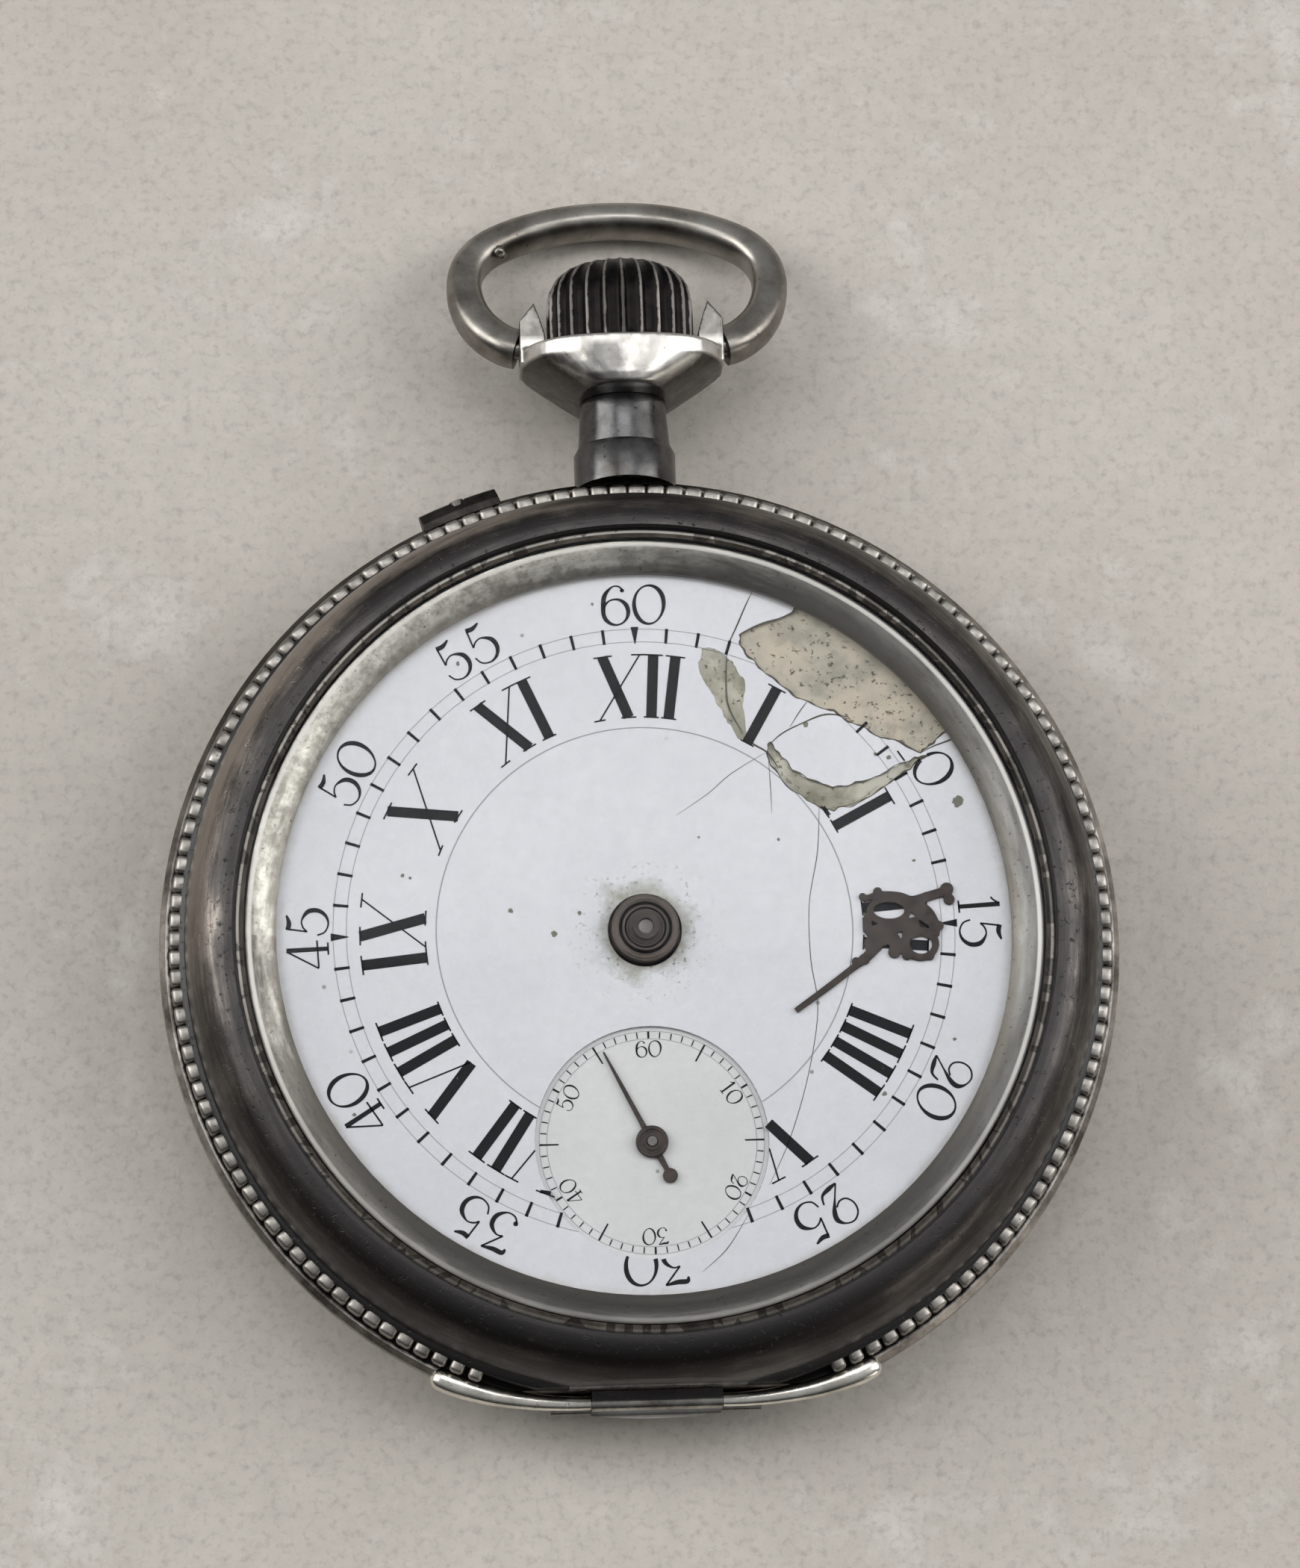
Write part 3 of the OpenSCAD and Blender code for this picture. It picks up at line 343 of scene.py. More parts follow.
def ink(name, colour, worn, wear=0.66):
    """Fired black print, rubbed thin in specks."""
    f = Finish(name)
    wear_and_sheen = f.level(f.grain(0.18, 4, 0.7), wear, wear + 0.08, 0, 0.8)
    f.set(Base_Color=f.mix(wear_and_sheen, colour, worn), Roughness=f.level(f.grain(0.3, 3), 0.3, 0.7, 0.4, 0.6),
          Specular_IOR_Level=0.15)
    f.rough_bump(f.grain(0.1, 3), 0.004)
    return f


def rusty_steel(name, dark, light):
    """Blued steel that has gone brown."""
    f = Finish(name)
    cloud = f.grain(0.5, 8, 0.7)
    f.set(Base_Color=f.ramp(cloud, [(0.35, dark), (0.68, light)]), Metallic=0.3,
          Roughness=f.level(cloud, 0.3, 0.7, 0.45, 0.65), Specular_IOR_Level=0.3)
    f.rough_bump(f.grain(0.12, 6, 0.75), 0.02)
    return f


def hub_steel():
    """The hour hub, turned in concentric rings."""
    f = Finish("hub_steel")
    r = f.around()[0]
    rings = f.math("SINE", f.times(r, 21.0))
    cloud = f.grain(0.5, 7, 0.7)
    tone = f.ramp(cloud, [(0.35, (0.042, 0.034, 0.03)), (0.7, (0.115, 0.092, 0.078))])
    tone = f.mix(f.level(rings, 0.2, 1, 0, 0.5), tone, (0.15, 0.12, 0.1))
    f.set(Base_Color=tone, Metallic=0.4, Roughness=f.level(cloud, 0.3, 0.7, 0.38, 0.55))
    f.rough_bump(rings, 0.02, 0.6)
    return f


def crown_black():
    """Oxidised crown: black flutes, thin grey ribs where it is rubbed by fingers."""
    f = Finish("crown_black")
    turn = f.around((0, CROWN_BASE_Y, STEM_Z), (radians(90), 0, 0))[2]
    crest = f.math("ABSOLUTE", f.cosine(f.times(turn, CROWN_FLUTES / 2)))
    rib = f.level(f.plus(crest, f.level(f.grain(0.5, 5, 0.7), 0.3, 0.7, -0.03, 0.03)), 0.955, 0.985)
    cloud = f.grain(0.7, 7, 0.65)
    tone = f.ramp(cloud, [(0.4, (0.004, 0.0035, 0.0035)), (0.75, (0.016, 0.014, 0.013))])
    tone = f.mix(f.times(rib, 0.85), tone, (0.2, 0.185, 0.175))
    worn = f.level(f.grain(0.16, 4, 0.8), 0.7, 0.8, 0, 0.35)
    tone = f.mix(worn, tone, (0.16, 0.145, 0.135))
    f.set(Base_Color=tone, Metallic=0.5, Roughness=f.level(cloud, 0.3, 0.7, 0.24, 0.4),
          Specular_IOR_Level=0.08)
    f.rough_bump(f.grain(0.15, 5, 0.7), 0.008)
    return f


def watch_glass():
    f = Finish("watch_glass")
    haze = f.level(f.grain(3.0, 6), 0.35, 0.7, 0.012, 0.035)
    f.set(Base_Color=(0.01, 0.01, 0.012, 1), Roughness=haze, Alpha=0.07, Specular_IOR_Level=0.5)
    f.rough_bump(f.grain(6.0, 3), 0.004)
    return f


def ruby():
    f = Finish("ruby")
    f.set(Base_Color=f.mix(f.level(f.grain(0.3, 4), 0.35, 0.7), (0.42, 0.01, 0.05), (0.7, 0.05, 0.14)),
          Roughness=0.08, Coat_Weight=0.5)
    return f


def striped_nickel():
    """Bridges: fine parallel waves struck across nickelled brass."""
    f = Finish("striped_nickel")
    line = f.add("Mapping", Vector=f.place)
    line.inputs["Rotation"].default_value = (0, 0, 0.6)
    parts = f.add("SeparateXYZ", Vector=line.outputs[0])
    saw = f.math("FRACT", f.times(parts.outputs[0], 0.62 / MM))
    arcs = f.grain(0.05, 2, 0.5, f.stretched((1, 0.1, 1), (0, 0, 0.9)))
    f.set(Base_Color=f.mix(f.level(saw, 0, 1, 0, 0.75), (0.74, 0.71, 0.66), (0.5, 0.48, 0.45)), Metallic=1.0,
          Roughness=f.level(arcs, 0.3, 0.7, 0.2, 0.34))
    f.rough_bump(f.plus(saw, f.times(arcs, 0.3)), 0.01)
    return f


def floor_finish():
    f = Finish("pale_floor")
    cloud = f.grain(14, 6, 0.6)
    fine = f.level(f.grain(0.9, 5, 0.75), 0.35, 0.7, 0.0, 0.35)
    tone = f.mix(f.level(cloud, 0.3, 0.75), (0.52, 0.487, 0.443), (0.43, 0.396, 0.354))
    tone = f.mix(fine, tone, (0.33, 0.31, 0.285))
    tone = f.mix(f.level(f.grain(7, 9, 0.72), 0.55, 0.68, 0, 0.5), tone, (0.66, 0.64, 0.605))
    f.set(Base_Color=f.mix(f.level(f.grain(0.32, 3, 0.7), 0.5, 0.72, 0, 0.45), tone, (0.24, 0.22, 0.2)),
          Roughness=0.75)
    f.rough_bump(f.grain(0.8, 5, 0.6), 0.05)
    return f


FINISHES = {
    "tarnished_silver": worn_silver("tarnished_silver", (0.4, 0.38, 0.37), (0.14, 0.125, 0.115),
                                    (0.03, 0.026, 0.023)),
    "polished_silver": worn_silver("polished_silver", (0.86, 0.85, 0.83), (0.6, 0.585, 0.56),
                                   (0.14, 0.13, 0.12), (0.14, 0.3), 1.8, 0.003),
    "satin_silver": worn_silver("satin_silver", (0.42, 0.41, 0.39), (0.25, 0.24, 0.225),
                                (0.045, 0.04, 0.036), (0.32, 0.5), 2.2, 0.006),
    "dark_silver": worn_silver("dark_silver", (0.2, 0.19, 0.185), (0.07, 0.065, 0.06), (0.02, 0.02, 0.02),
                               (0.3, 0.5), 1.6, 0.006),
    "hinge_steel": clean_metal("hinge_steel", (0.33, 0.32, 0.31), (0.14, 0.12, 0.1)),
    "crystal_glass": watch_glass(), "black_crown": crown_black(),
    "white_enamel": enamel("white_enamel", (0.74, 0.755, 0.8), (0.69, 0.7, 0.745)),
    "grey_enamel": enamel("grey_enamel", (0.73, 0.735, 0.74), (0.66, 0.665, 0.665), False),
    "gilt_brass": gilt("gilt_brass", (0.78, 0.57, 0.26), (0.5, 0.34, 0.14)),
    "nickel": striped_nickel(),
    "blued_steel": clean_metal("blued_steel", (0.04, 0.06, 0.24), (0.015, 0.02, 0.07), 0.18),
    "bright_steel": clean_metal("bright_steel", (0.66, 0.66, 0.66), (0.42, 0.41, 0.4), 0.26),
    "ruby": ruby(),
    "rusted_steel": rusty_steel("rusted_steel", (0.034, 0.028, 0.026), (0.092, 0.075, 0.066)),
}
SLOT_OF = {row["node"]: row["material_slot"] for row in frame["record"]["subparts"]}
for name, cad_node in frame["nodes"].items():
    cad_node.data.materials.clear()
    cad_node.data.materials.append(FINISHES[SLOT_OF[name]].material)


# ---------- making pieces ----------

def soften(bm, angle=30):
    """Shade smooth, with hard edges where faces turn by more than angle."""
    for face in bm.faces:
        face.smooth = True
    for edge in bm.edges:
        edge.smooth = len(edge.link_faces) == 2 and edge.calc_face_angle(pi) < radians(angle)


def placed(name, bm, body, slot, finish=None, replaces=(), angle=30, in_mm=True):
    """Turn a bmesh, drawn in millimetres in the shared frame, into a piece that rides on a body."""
    if in_mm:
        bmesh.ops.scale(bm, vec=(MM, MM, MM), verts=bm.verts)
    soften(bm, angle)
    mesh = bpy.data.meshes.new(name)
    bm.to_mesh(mesh)
    bm.free()
    piece = bpy.data.objects.new(name, mesh)
    bpy.context.scene.collection.objects.link(piece)
    mesh.materials.append((finish or FINISHES[slot]).material)
    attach(piece, body)
    if replaces:
        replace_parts(piece, *replaces)
    return piece


def turned(profile, steps=240):
    """Spin a closed profile of (radius, height) points round the upright axis."""
    bm = bmesh.new()
    verts = [bm.verts.new((r, 0, z)) for r, z in profile]
    edges = [bm.edges.new(pair) for pair in zip(verts, verts[1:] + verts[:1])]
    bmesh.ops.spin(bm, geom=verts + edges, cent=(0, 0, 0), axis=(0, 0, 1), angle=2 * pi, steps=steps,
                   use_merge=True)
    bmesh.ops.remove_doubles(bm, verts=bm.verts, dist=1e-4)
    bmesh.ops.recalc_face_normals(bm, faces=bm.faces)
    return bm


def cut_flat(bm, y):
    """Slice a ring off below a line at 6 o'clock and close the cut."""
    got = bmesh.ops.bisect_plane(bm, geom=bm.verts[:] + bm.edges[:] + bm.faces[:], plane_co=(0, y, 0),
                                 plane_no=(0, -1, 0), clear_outer=True)
    rim = [e for e in got["geom_cut"] if isinstance(e, bmesh.types.BMEdge)]
    bmesh.ops.triangle_fill(bm, edges=rim, use_beauty=True)
    bmesh.ops.recalc_face_normals(bm, faces=bm.faces)
    return bm


def squared(value, power):
    """Bend a sine or cosine so that a circle becomes a rounded square."""
    return abs(value) ** power * (1 if value > 0 else -1)


def ring_edges(bm, ring):
    return [e for e in bm.edges if e.verts[0] in ring and e.verts[1] in ring]


def skin(bm, rings):
    """Bridge a row of rings and close both ends."""
    for one, two in zip(rings, rings[1:]):
        bmesh.ops.bridge_loops(bm, edges=one + two)
    for end in (rings[0], rings[-1]):
        bmesh.ops.contextual_create(bm, geom=end)


def grow(bm, face, height):
    """Extrude a flat face straight up into a block."""
    grown = bmesh.ops.extrude_face_region(bm, geom=[face])
    top = [v for v in grown["geom"] if isinstance(v, bmesh.types.BMVert)]
    bmesh.ops.translate(bm, vec=(0, 0, height), verts=top)


def from_cad(node):
    """A merged copy of a CAD node's mesh, still in metres."""
    bm = bmesh.new()
    bm.from_mesh(frame["nodes"][node].data)
    bmesh.ops.remove_doubles(bm, verts=bm.verts, dist=2e-7)
    return bm


def refined(node, body, slot, finish=None, angle=30):
    """A CAD node kept to its shape, with its curved faces shaded smooth."""
    return placed(node + "_finished", from_cad(node), body, slot, finish, [node], angle, in_mm=False)


def fused(piece, cell, rounds=3):
    """Melt overlapping parts of a piece into one skin of fine cells and round its edges."""
    slots = list(piece.data.materials)
    remesh = piece.modifiers.new("fine_cells", "REMESH")
    remesh.mode = "VOXEL"
    remesh.voxel_size = cell * MM
    smooth = piece.modifiers.new("worn_edges", "SMOOTH")
    smooth.factor = 0.5
    smooth.iterations = rounds
    depsgraph = bpy.context.evaluated_depsgraph_get()
    mesh = bpy.data.meshes.new_from_object(piece.evaluated_get(depsgraph))
    piece.modifiers.clear()
    piece.data = mesh
    for face in mesh.polygons:
        face.use_smooth = True
    if not mesh.materials:
        mesh.materials.append(slots[0])
    return piece


BODY_OF = {n: body for body, members in frame["record"]["behaviour"]["bodies"].items() for n in members}


# ---------- bezel, band and back ----------

def bezel_face():
    """Outline of the bezel's cross-section, from the snap edge round the convex face to the glass seat."""
    dome = [(21.6 + 2.45 * cos(radians(a)), 7.6 + 3.45 * sin(radians(a))) for a in range(4, 91, 4)]
    return ([(22.65, 5.8), (24.3, 5.8), (24.42, 5.9), (24.42, 6.95), (24.3, 7.05), (24.1, 7.1),
             (24.02, 7.22)] + dome + [(21.52, 11.05), (21.46, 11.0), (21.42, 10.9), (21.42, 10.5),
                                      (20.95, 10.5), (20.95, 10.25), (22.2, 9.4), (22.65, 8.8)])


ring = cut_flat(turned(bezel_face(), 288), -23.6)
# The web under the flat cut takes the painted black shade of the bezel's outer band.
web = bmesh.ops.create_cube(ring, size=1)["verts"]
bmesh.ops.scale(ring, vec=(KNUCKLE_LONG, 0.5, 0.7), verts=web)
bmesh.ops.translate(ring, vec=(0, -23.96, 5.62), verts=web)
placed("bezel_ring", ring, "front_bezel", "tarnished_silver", bezel_silver(), ["bezel"])

knuckle = bmesh.new()
tube = bmesh.ops.create_cone(knuckle, cap_ends=True, segments=40, radius1=KNUCKLE_R, radius2=KNUCKLE_R,
                               depth=KNUCKLE_LONG)["verts"]
bmesh.ops.rotate(knuckle, cent=(0, 0, 0), matrix=Matrix.Rotation(radians(90), 3, "Y"), verts=tube)
bmesh.ops.translate(knuckle, vec=BEZEL_PIN, verts=tube)
# A thin bright sheet on the flat cut face: a painted highlight along the upper edge of the cut.
edge = bmesh.ops.create_cube(knuckle, size=1)["verts"]
bmesh.ops.scale(knuckle, vec=(9.2, 0.1, 1.5), verts=edge)
bmesh.ops.translate(knuckle, vec=(0, -23.64, 6.62), verts=edge)
knuckle_and_glint_finish = worn_silver("knuckle_silver_and_glint", (0.48, 0.46, 0.42), (0.2, 0.185, 0.165),
                             (0.05, 0.045, 0.04), (0.2, 0.36), 1.0)
placed("bezel_knuckle", knuckle, "front_bezel", "tarnished_silver", knuckle_and_glint_finish)

beads = bmesh.new()
for i in range(BEADS):
    a = 2 * pi * (i + 0.5) / BEADS
    drop = -24.5 * cos(a)
    if drop < -22.95:
        continue
    near_hinge = max(0.0, min(1.0, (-drop - 20.5) / 2.4))
    bead = bmesh.ops.create_cube(beads, size=1)
    verts = bead["verts"]
    bmesh.ops.scale(beads, vec=(0.9, 0.985 + dice.uniform(-0.04, 0.0) - 0.25 * near_hinge,
                                1.1 - 0.25 * near_hinge), verts=verts)
    edges = list({e for v in verts for e in v.link_edges})
    made = bmesh.ops.bevel(beads, geom=edges, offset=0.21, offset_type="OFFSET", segments=2, profile=0.5,
                           affect="EDGES", material=-1)
    verts = list({v for f in made["faces"] for v in f.verts})
    bmesh.ops.translate(beads, vec=(BEAD_RING_R, 0, BEAD_Z), verts=verts)
    bmesh.ops.rotate(beads, cent=(0, 0, 0), matrix=Matrix.Rotation(a - pi / 2, 3, "Z"), verts=verts)
placed("bezel_beads", beads, "front_bezel", "polished_silver",
       worn_silver("bead_silver", (0.36, 0.34, 0.315), (0.2, 0.188, 0.172), (0.04, 0.035, 0.03),
                   (0.3, 0.46), 0.7), angle=80)


def band_silver():
    """The band, black, with painted shade in the step behind the beads and towards the upper left."""
    f = worn_silver("band_silver", (0.42, 0.39, 0.36), (0.12, 0.105, 0.095), (0.02, 0.018, 0.016),
                    (0.25, 0.45), 1.2)
    r, z, turn = f.around()
    # Painted shade: near black in the step under the beads.
    step_shade = f.times(f.level(f.plus(r, f.level(f.grain(0.4, 4), 0.3, 0.7, -0.06, 0.06)), 24.98, 25.1, 1, 0),
                 f.level(z, 5.4, 5.6))
    worn = f.shader.inputs["Base Color"].links[0].from_socket
    # Painted shade: darker towards the upper left.
    upper = f.level(f.cosine(f.math("SUBTRACT", turn, radians(110))), 0.3, 0.75, 0, 0.85)
    f.set(Base_Color=f.mix(step_shade, f.mix(upper, worn, (0.035, 0.03, 0.027)), (0.01, 0.009, 0.009)))
    return f


refined("case_middle", "root", "tarnished_silver", band_silver())
refined("case_back", "back_lid", "satin_silver", angle=25)
refined("cuvette", "dust_cover", "satin_silver", angle=25)
fused(refined("pusher_guard", "root", "polished_silver",
              worn_silver("guard_silver", (0.05, 0.045, 0.042), (0.016, 0.014, 0.013), (0.008, 0.007, 0.007),
                          (0.34, 0.5), 1.0)), 0.06)
refined("dial_ring", "root", "polished_silver", dial_ring_silver(), 40)
refined("crystal", "front_bezel", "crystal_glass", angle=40)


# ---------- pendant, crown and bow ----------

def head_block():
    """The pendant's head: an oval cup that narrows quickly to the neck, with a pointed ear at each side."""
    bm = bmesh.new()
    rings = []
    for y, half_wide, half_deep in ((29.97, 2.5, 4.2), (30.08, 2.7, 4.34), (30.5, 3.45, 4.42),
                                    (31.2, 4.6, 4.42), (31.75, 5.4, 4.42), (31.9, 5.52, 4.42),
                                    (32.15, 5.54, 4.42), (32.62, 5.54, 4.42), (32.72, 5.46, 4.34)):
        ring = bmesh.ops.create_circle(bm, cap_ends=False, radius=1, segments=72)["verts"]
        for v in ring:
            v.co = Vector((half_wide * squared(v.co.x, 0.8), y, STEM_Z + half_deep * squared(v.co.y, 0.8)))
        rings.append(ring_edges(bm, ring))
    skin(bm, rings)
    for side in (1, -1):
        outline = [(5.54, 31.9), (5.54, 34.35), (4.72, 35.36), (4.42, 34.5), (4.16, 33.6), (4.1, 32.2)]
        face = bm.faces.new([bm.verts.new((side * x, y, STEM_Z - EAR_DEEP / 2)) for x, y in outline])
        grow(bm, face, EAR_DEEP)
    bmesh.ops.recalc_face_normals(bm, faces=bm.faces)
    return bm


def head_silver():
    """Bright on the rim and grey on the ears, with painted shade where it runs down to the neck and a
    painted dark reflection left of the middle.
    """
    f = worn_silver("head_silver", (0.6, 0.585, 0.555), (0.38, 0.365, 0.34), (0.09, 0.08, 0.07),
                    (0.24, 0.4), 1.4)
    wear_and_sheen = f.shader.inputs["Base Color"].links[0].from_socket
    parts = f.add("SeparateXYZ", Vector=f.place)
    side, along, high = (f.math("DIVIDE", part, MM) for part in parts.outputs)
    ragged_high = f.plus(high, f.level(f.grain(0.8, 5, 0.7), 0.3, 0.7, -0.15, 0.15))
    # Painted shade: the lower flanks that run down to the neck are darkened.
    shade = f.times(f.level(ragged_high, STEM_Z + 3.1, STEM_Z + 3.6, 0.93, 0),
                    f.level(along, 31.75, 31.95, 1, 0))
    flank_shade_tone = f.ramp(f.grain(0.7, 6, 0.65), [(0.38, (0.02, 0.017, 0.015)), (0.65, (0.075, 0.068, 0.06))])
    ragged_side = f.plus(side, f.level(f.grain(0.7, 5, 0.7), 0.3, 0.7, -0.25, 0.25))
    # Painted reflection: a dark patch left of the middle of the head's face.
    dark_reflection = f.times(f.level(ragged_side, -2.2, -1.7), f.level(ragged_side, -0.35, 0.15, 1, 0))
    dark_reflection = f.times(dark_reflection, f.level(along, 32.0, 32.35, 0.72, 0))
    tone = f.mix(dark_reflection, f.mix(shade, wear_and_sheen, flank_shade_tone), (0.1, 0.098, 0.096))
    ears = f.level(along, 33.1, 33.5, 0, 0.9)
    f.set(Base_Color=f.mix(ears, tone, f.mix(f.level(f.grain(0.5, 5), 0.4, 0.65), (0.16, 0.154, 0.145),
                                            (0.085, 0.08, 0.074))))
    return f


fused(placed("pendant_head_worn", head_block(), "root", "polished_silver", head_silver(),
             ["pendant_head"]), 0.075, 5)
neck_finish = worn_silver("neck_silver", (0.13, 0.13, 0.132), (0.06, 0.057, 0.054), (0.02, 0.018, 0.017),
                          (0.2, 0.34), 1.6)
refined("pendant_neck", "root", "tarnished_silver", neck_finish, 35)


def crown_block():
    """The crown: hollow flutes between thin ribs that run up over the rounded end."""
    bm = bmesh.new()
    outline = ((3.82, 32.8), (3.97, 32.95), (4.0, 33.3), (4.0, 34.2), (4.0, 35.2), (3.96, 35.85),
               (3.82, 36.4), (3.55, 36.88), (3.15, 37.25), (2.6, 37.52), (1.9, 37.7), (1.0, 37.77))
    rings = []
    for k, (r, y) in enumerate(outline):
        depth = 0.34 if 0 < k < 8 else (0.12, 0.3, 0.22, 0.12, 0.0)[max(0, k - 7)]
        ring = bmesh.ops.create_circle(bm, cap_ends=False, radius=1, segments=CROWN_FLUTES * 12)["verts"]
        for v in ring:
            a = atan2(v.co.y, v.co.x)
            cut = 1 - abs(cos(a * CROWN_FLUTES / 2)) ** 5
            here = r - depth * squared(cut, 0.6)
            v.co = Vector((here * cos(a), y, STEM_Z + here * sin(a)))
        rings.append(ring_edges(bm, ring))
    skin(bm, rings)
    bmesh.ops.recalc_face_normals(bm, faces=bm.faces)
    return bm


placed("crown_fluted", crown_block(), "winding_crown", "black_crown", replaces=["crown"], angle=50)


def sweep(bm, path, section, sides=20):
    """Carry a section along a path; section gives a point's place across and over the path."""
    rings = []
    for k, at in enumerate(path):
        ahead = (path[min(k + 1, len(path) - 1)] - path[max(k - 1, 0)]).normalized()
        across = ahead.cross(Vector((0, 0, 1))).normalized()
        ring = bmesh.ops.create_circle(bm, cap_ends=False, radius=1, segments=sides)["verts"]
        for v in ring:
            out, up = section(k, v.co.x, v.co.y)
            v.co = at + across * out + across.cross(ahead) * up
        rings.append(ring_edges(bm, ring))
    skin(bm, rings)
    return bm


def curve_through(nodes, steps=6, closed=False):
    """Points of a smooth curve through nodes of any number of coordinates."""
    count = len(nodes) if closed else len(nodes) - 1

    def node(i):
        return nodes[i % len(nodes)] if closed else nodes[max(0, min(len(nodes) - 1, i))]

    track = []
    for i in range(count):
        a, b, c, d = (node(i + k) for k in (-1, 0, 1, 2))
        for k in range(steps):
            t = k / steps
            track.append([0.5 * (2 * q + (r - p) * t + (2 * p - 5 * q + 4 * r - s) * t * t
                                 + (3 * q - p - 3 * r + s) * t ** 3) for p, q, r, s in zip(a, b, c, d)])
    return track + [list(node(count))]


def bow_piece():
    """A squarish wire bent into a wide ring, whose ends butt against the pendant's head."""
    half = [(5.62, 0.0), (6.3, 0.28), (7.0, 0.85), (7.62, 1.6), (8.06, 2.5), (8.34, 3.6), (8.38, 4.8),
            (8.05, 6.0), (7.2, 7.1), (5.9, 7.93), (4.2, 8.62), (2.2, 9.08), (0.0, 9.24)]
    nodes = half + [(-x, y) for x, y in reversed(half[:-1])]
    path = [Vector((x, y, 0)) for x, y in curve_through(nodes, 4)]
    last = len(path) - 1

    def wire(k, u, w):
        end = abs(k / last - 0.5) * 2
        wide = 1.04 - 0.2 * (1 - end) ** 1.3 - 0.04 * end ** 6
        return wide * squared(u, 0.72), (1.06 - 0.06 * end ** 4) * squared(w, 0.72)

    bm = sweep(bmesh.new(), path, wire, 24)
    lump = bmesh.ops.create_icosphere(bm, subdivisions=3, radius=0.36)["verts"]
    for v in lump:
        v.co *= 1 + 0.5 * noise.noise(v.co * 3)
    bmesh.ops.translate(bm, vec=(-6.35, 6.55, 0.62), verts=lump)
    bmesh.ops.recalc_face_normals(bm, faces=bm.faces)
    bmesh.ops.rotate(bm, cent=(0, 0, 0), matrix=Matrix.Rotation(-BOW_LEAN, 3, "X"), verts=bm.verts)
    bmesh.ops.translate(bm, vec=(0, BOW_Y, STEM_Z), verts=bm.verts)
    return bm


placed("bow_ring_worn", bow_piece(), "bow_ring", "satin_silver",
       worn_silver("bow_silver", (0.37, 0.35, 0.32), (0.17, 0.155, 0.135), (0.035, 0.03, 0.025),
                   (0.26, 0.44), 2.2), ["bow"], 60)


# ---------- hinge wings ----------

def hinge_wings():
    """Two tapered wings that run from the knuckle out along the band to rounded ends."""
    bm = bmesh.new()
    nodes = [(3.45, -24.25, 5.25, 0.36), (4.6, -24.24, 5.28, 0.38), (6.3, -24.12, 5.35, 0.43),
             (8.4, -23.78, 5.45, 0.52), (10.2, -23.22, 5.45, 0.62), (11.1, -22.85, 5.42, 0.62),
             (11.5, -22.68, 5.42, 0.5), (11.72, -22.58, 5.42, 0.2)]
    for side in (1, -1):
        track = curve_through([(side * x, y, z, r) for x, y, z, r in nodes], 4)
        path = [Vector(point[:3]) for point in track]
        sweep(bm, path, lambda k, u, w: (track[k][3] * squared(u, 0.8), track[k][3] * squared(w, 0.85)), 20)
    bmesh.ops.recalc_face_normals(bm, faces=bm.faces)
    return bm


wing_finish = worn_silver("wing_silver", (0.88, 0.86, 0.79), (0.55, 0.52, 0.45), (0.08, 0.07, 0.06),
                          (0.16, 0.3), 1.2)
placed("hinge_wings", hinge_wings(), "root", "polished_silver", wing_finish, ["hinge_bracket"], 60)


# ---------- dial print ----------

def pen(bm, nodes, steps=10, closed=False):
    """A stroke of changing width through (x, y, width) nodes, drawn flat as a strip of faces."""
    track = curve_through(nodes, steps, closed)
    strip = bmesh.ops.create_grid(bm, x_segments=len(track) - 1, y_segments=1, size=0.5)["verts"]
    for v in strip:
        i = round((v.co.x + 0.5) * (len(track) - 1))
        before, after = track[max(0, i - 1)], track[min(len(track) - 1, i + 1)]
        if closed and i in (0, len(track) - 1):
            before, after = track[-2], track[1]
        dx, dy = after[0] - before[0], after[1] - before[1]
        run = hypot(dx, dy) or 1
        side = track[i][2] / 2 * (1 if v.co.y > 0 else -1)
        v.co = Vector((track[i][0] - dy / run * side, track[i][1] + dx / run * side, 0))
    return strip


def ball(bm, x, y, r):
    spot = bmesh.ops.create_circle(bm, cap_ends=True, radius=r, segments=12)["verts"]
    bmesh.ops.translate(bm, vec=(x, y, 0), verts=spot)
    return spot


def straight(bm, x0, y0, x1, y1, w0, w1=None, steps=1):
    return pen(bm, [(x0, y0, w0), (x1, y1, w0 if w1 is None else w1)], steps)


def oval(cx, cy, rx, ry, thin, thick, lean=0.0):
    """Nodes round an oval whose sides are thicker than its top and bottom."""
    return [(cx + rx * sin(a), cy + ry * cos(a), thin + (thick - thin) * sin(a + lean) ** 2)
            for a in [2 * pi * k / OVAL_NODES for k in range(OVAL_NODES)]]


# Widths of a numeral's thin and thick strokes, for a numeral one unit high
THIN, THICK = 0.042, 0.11


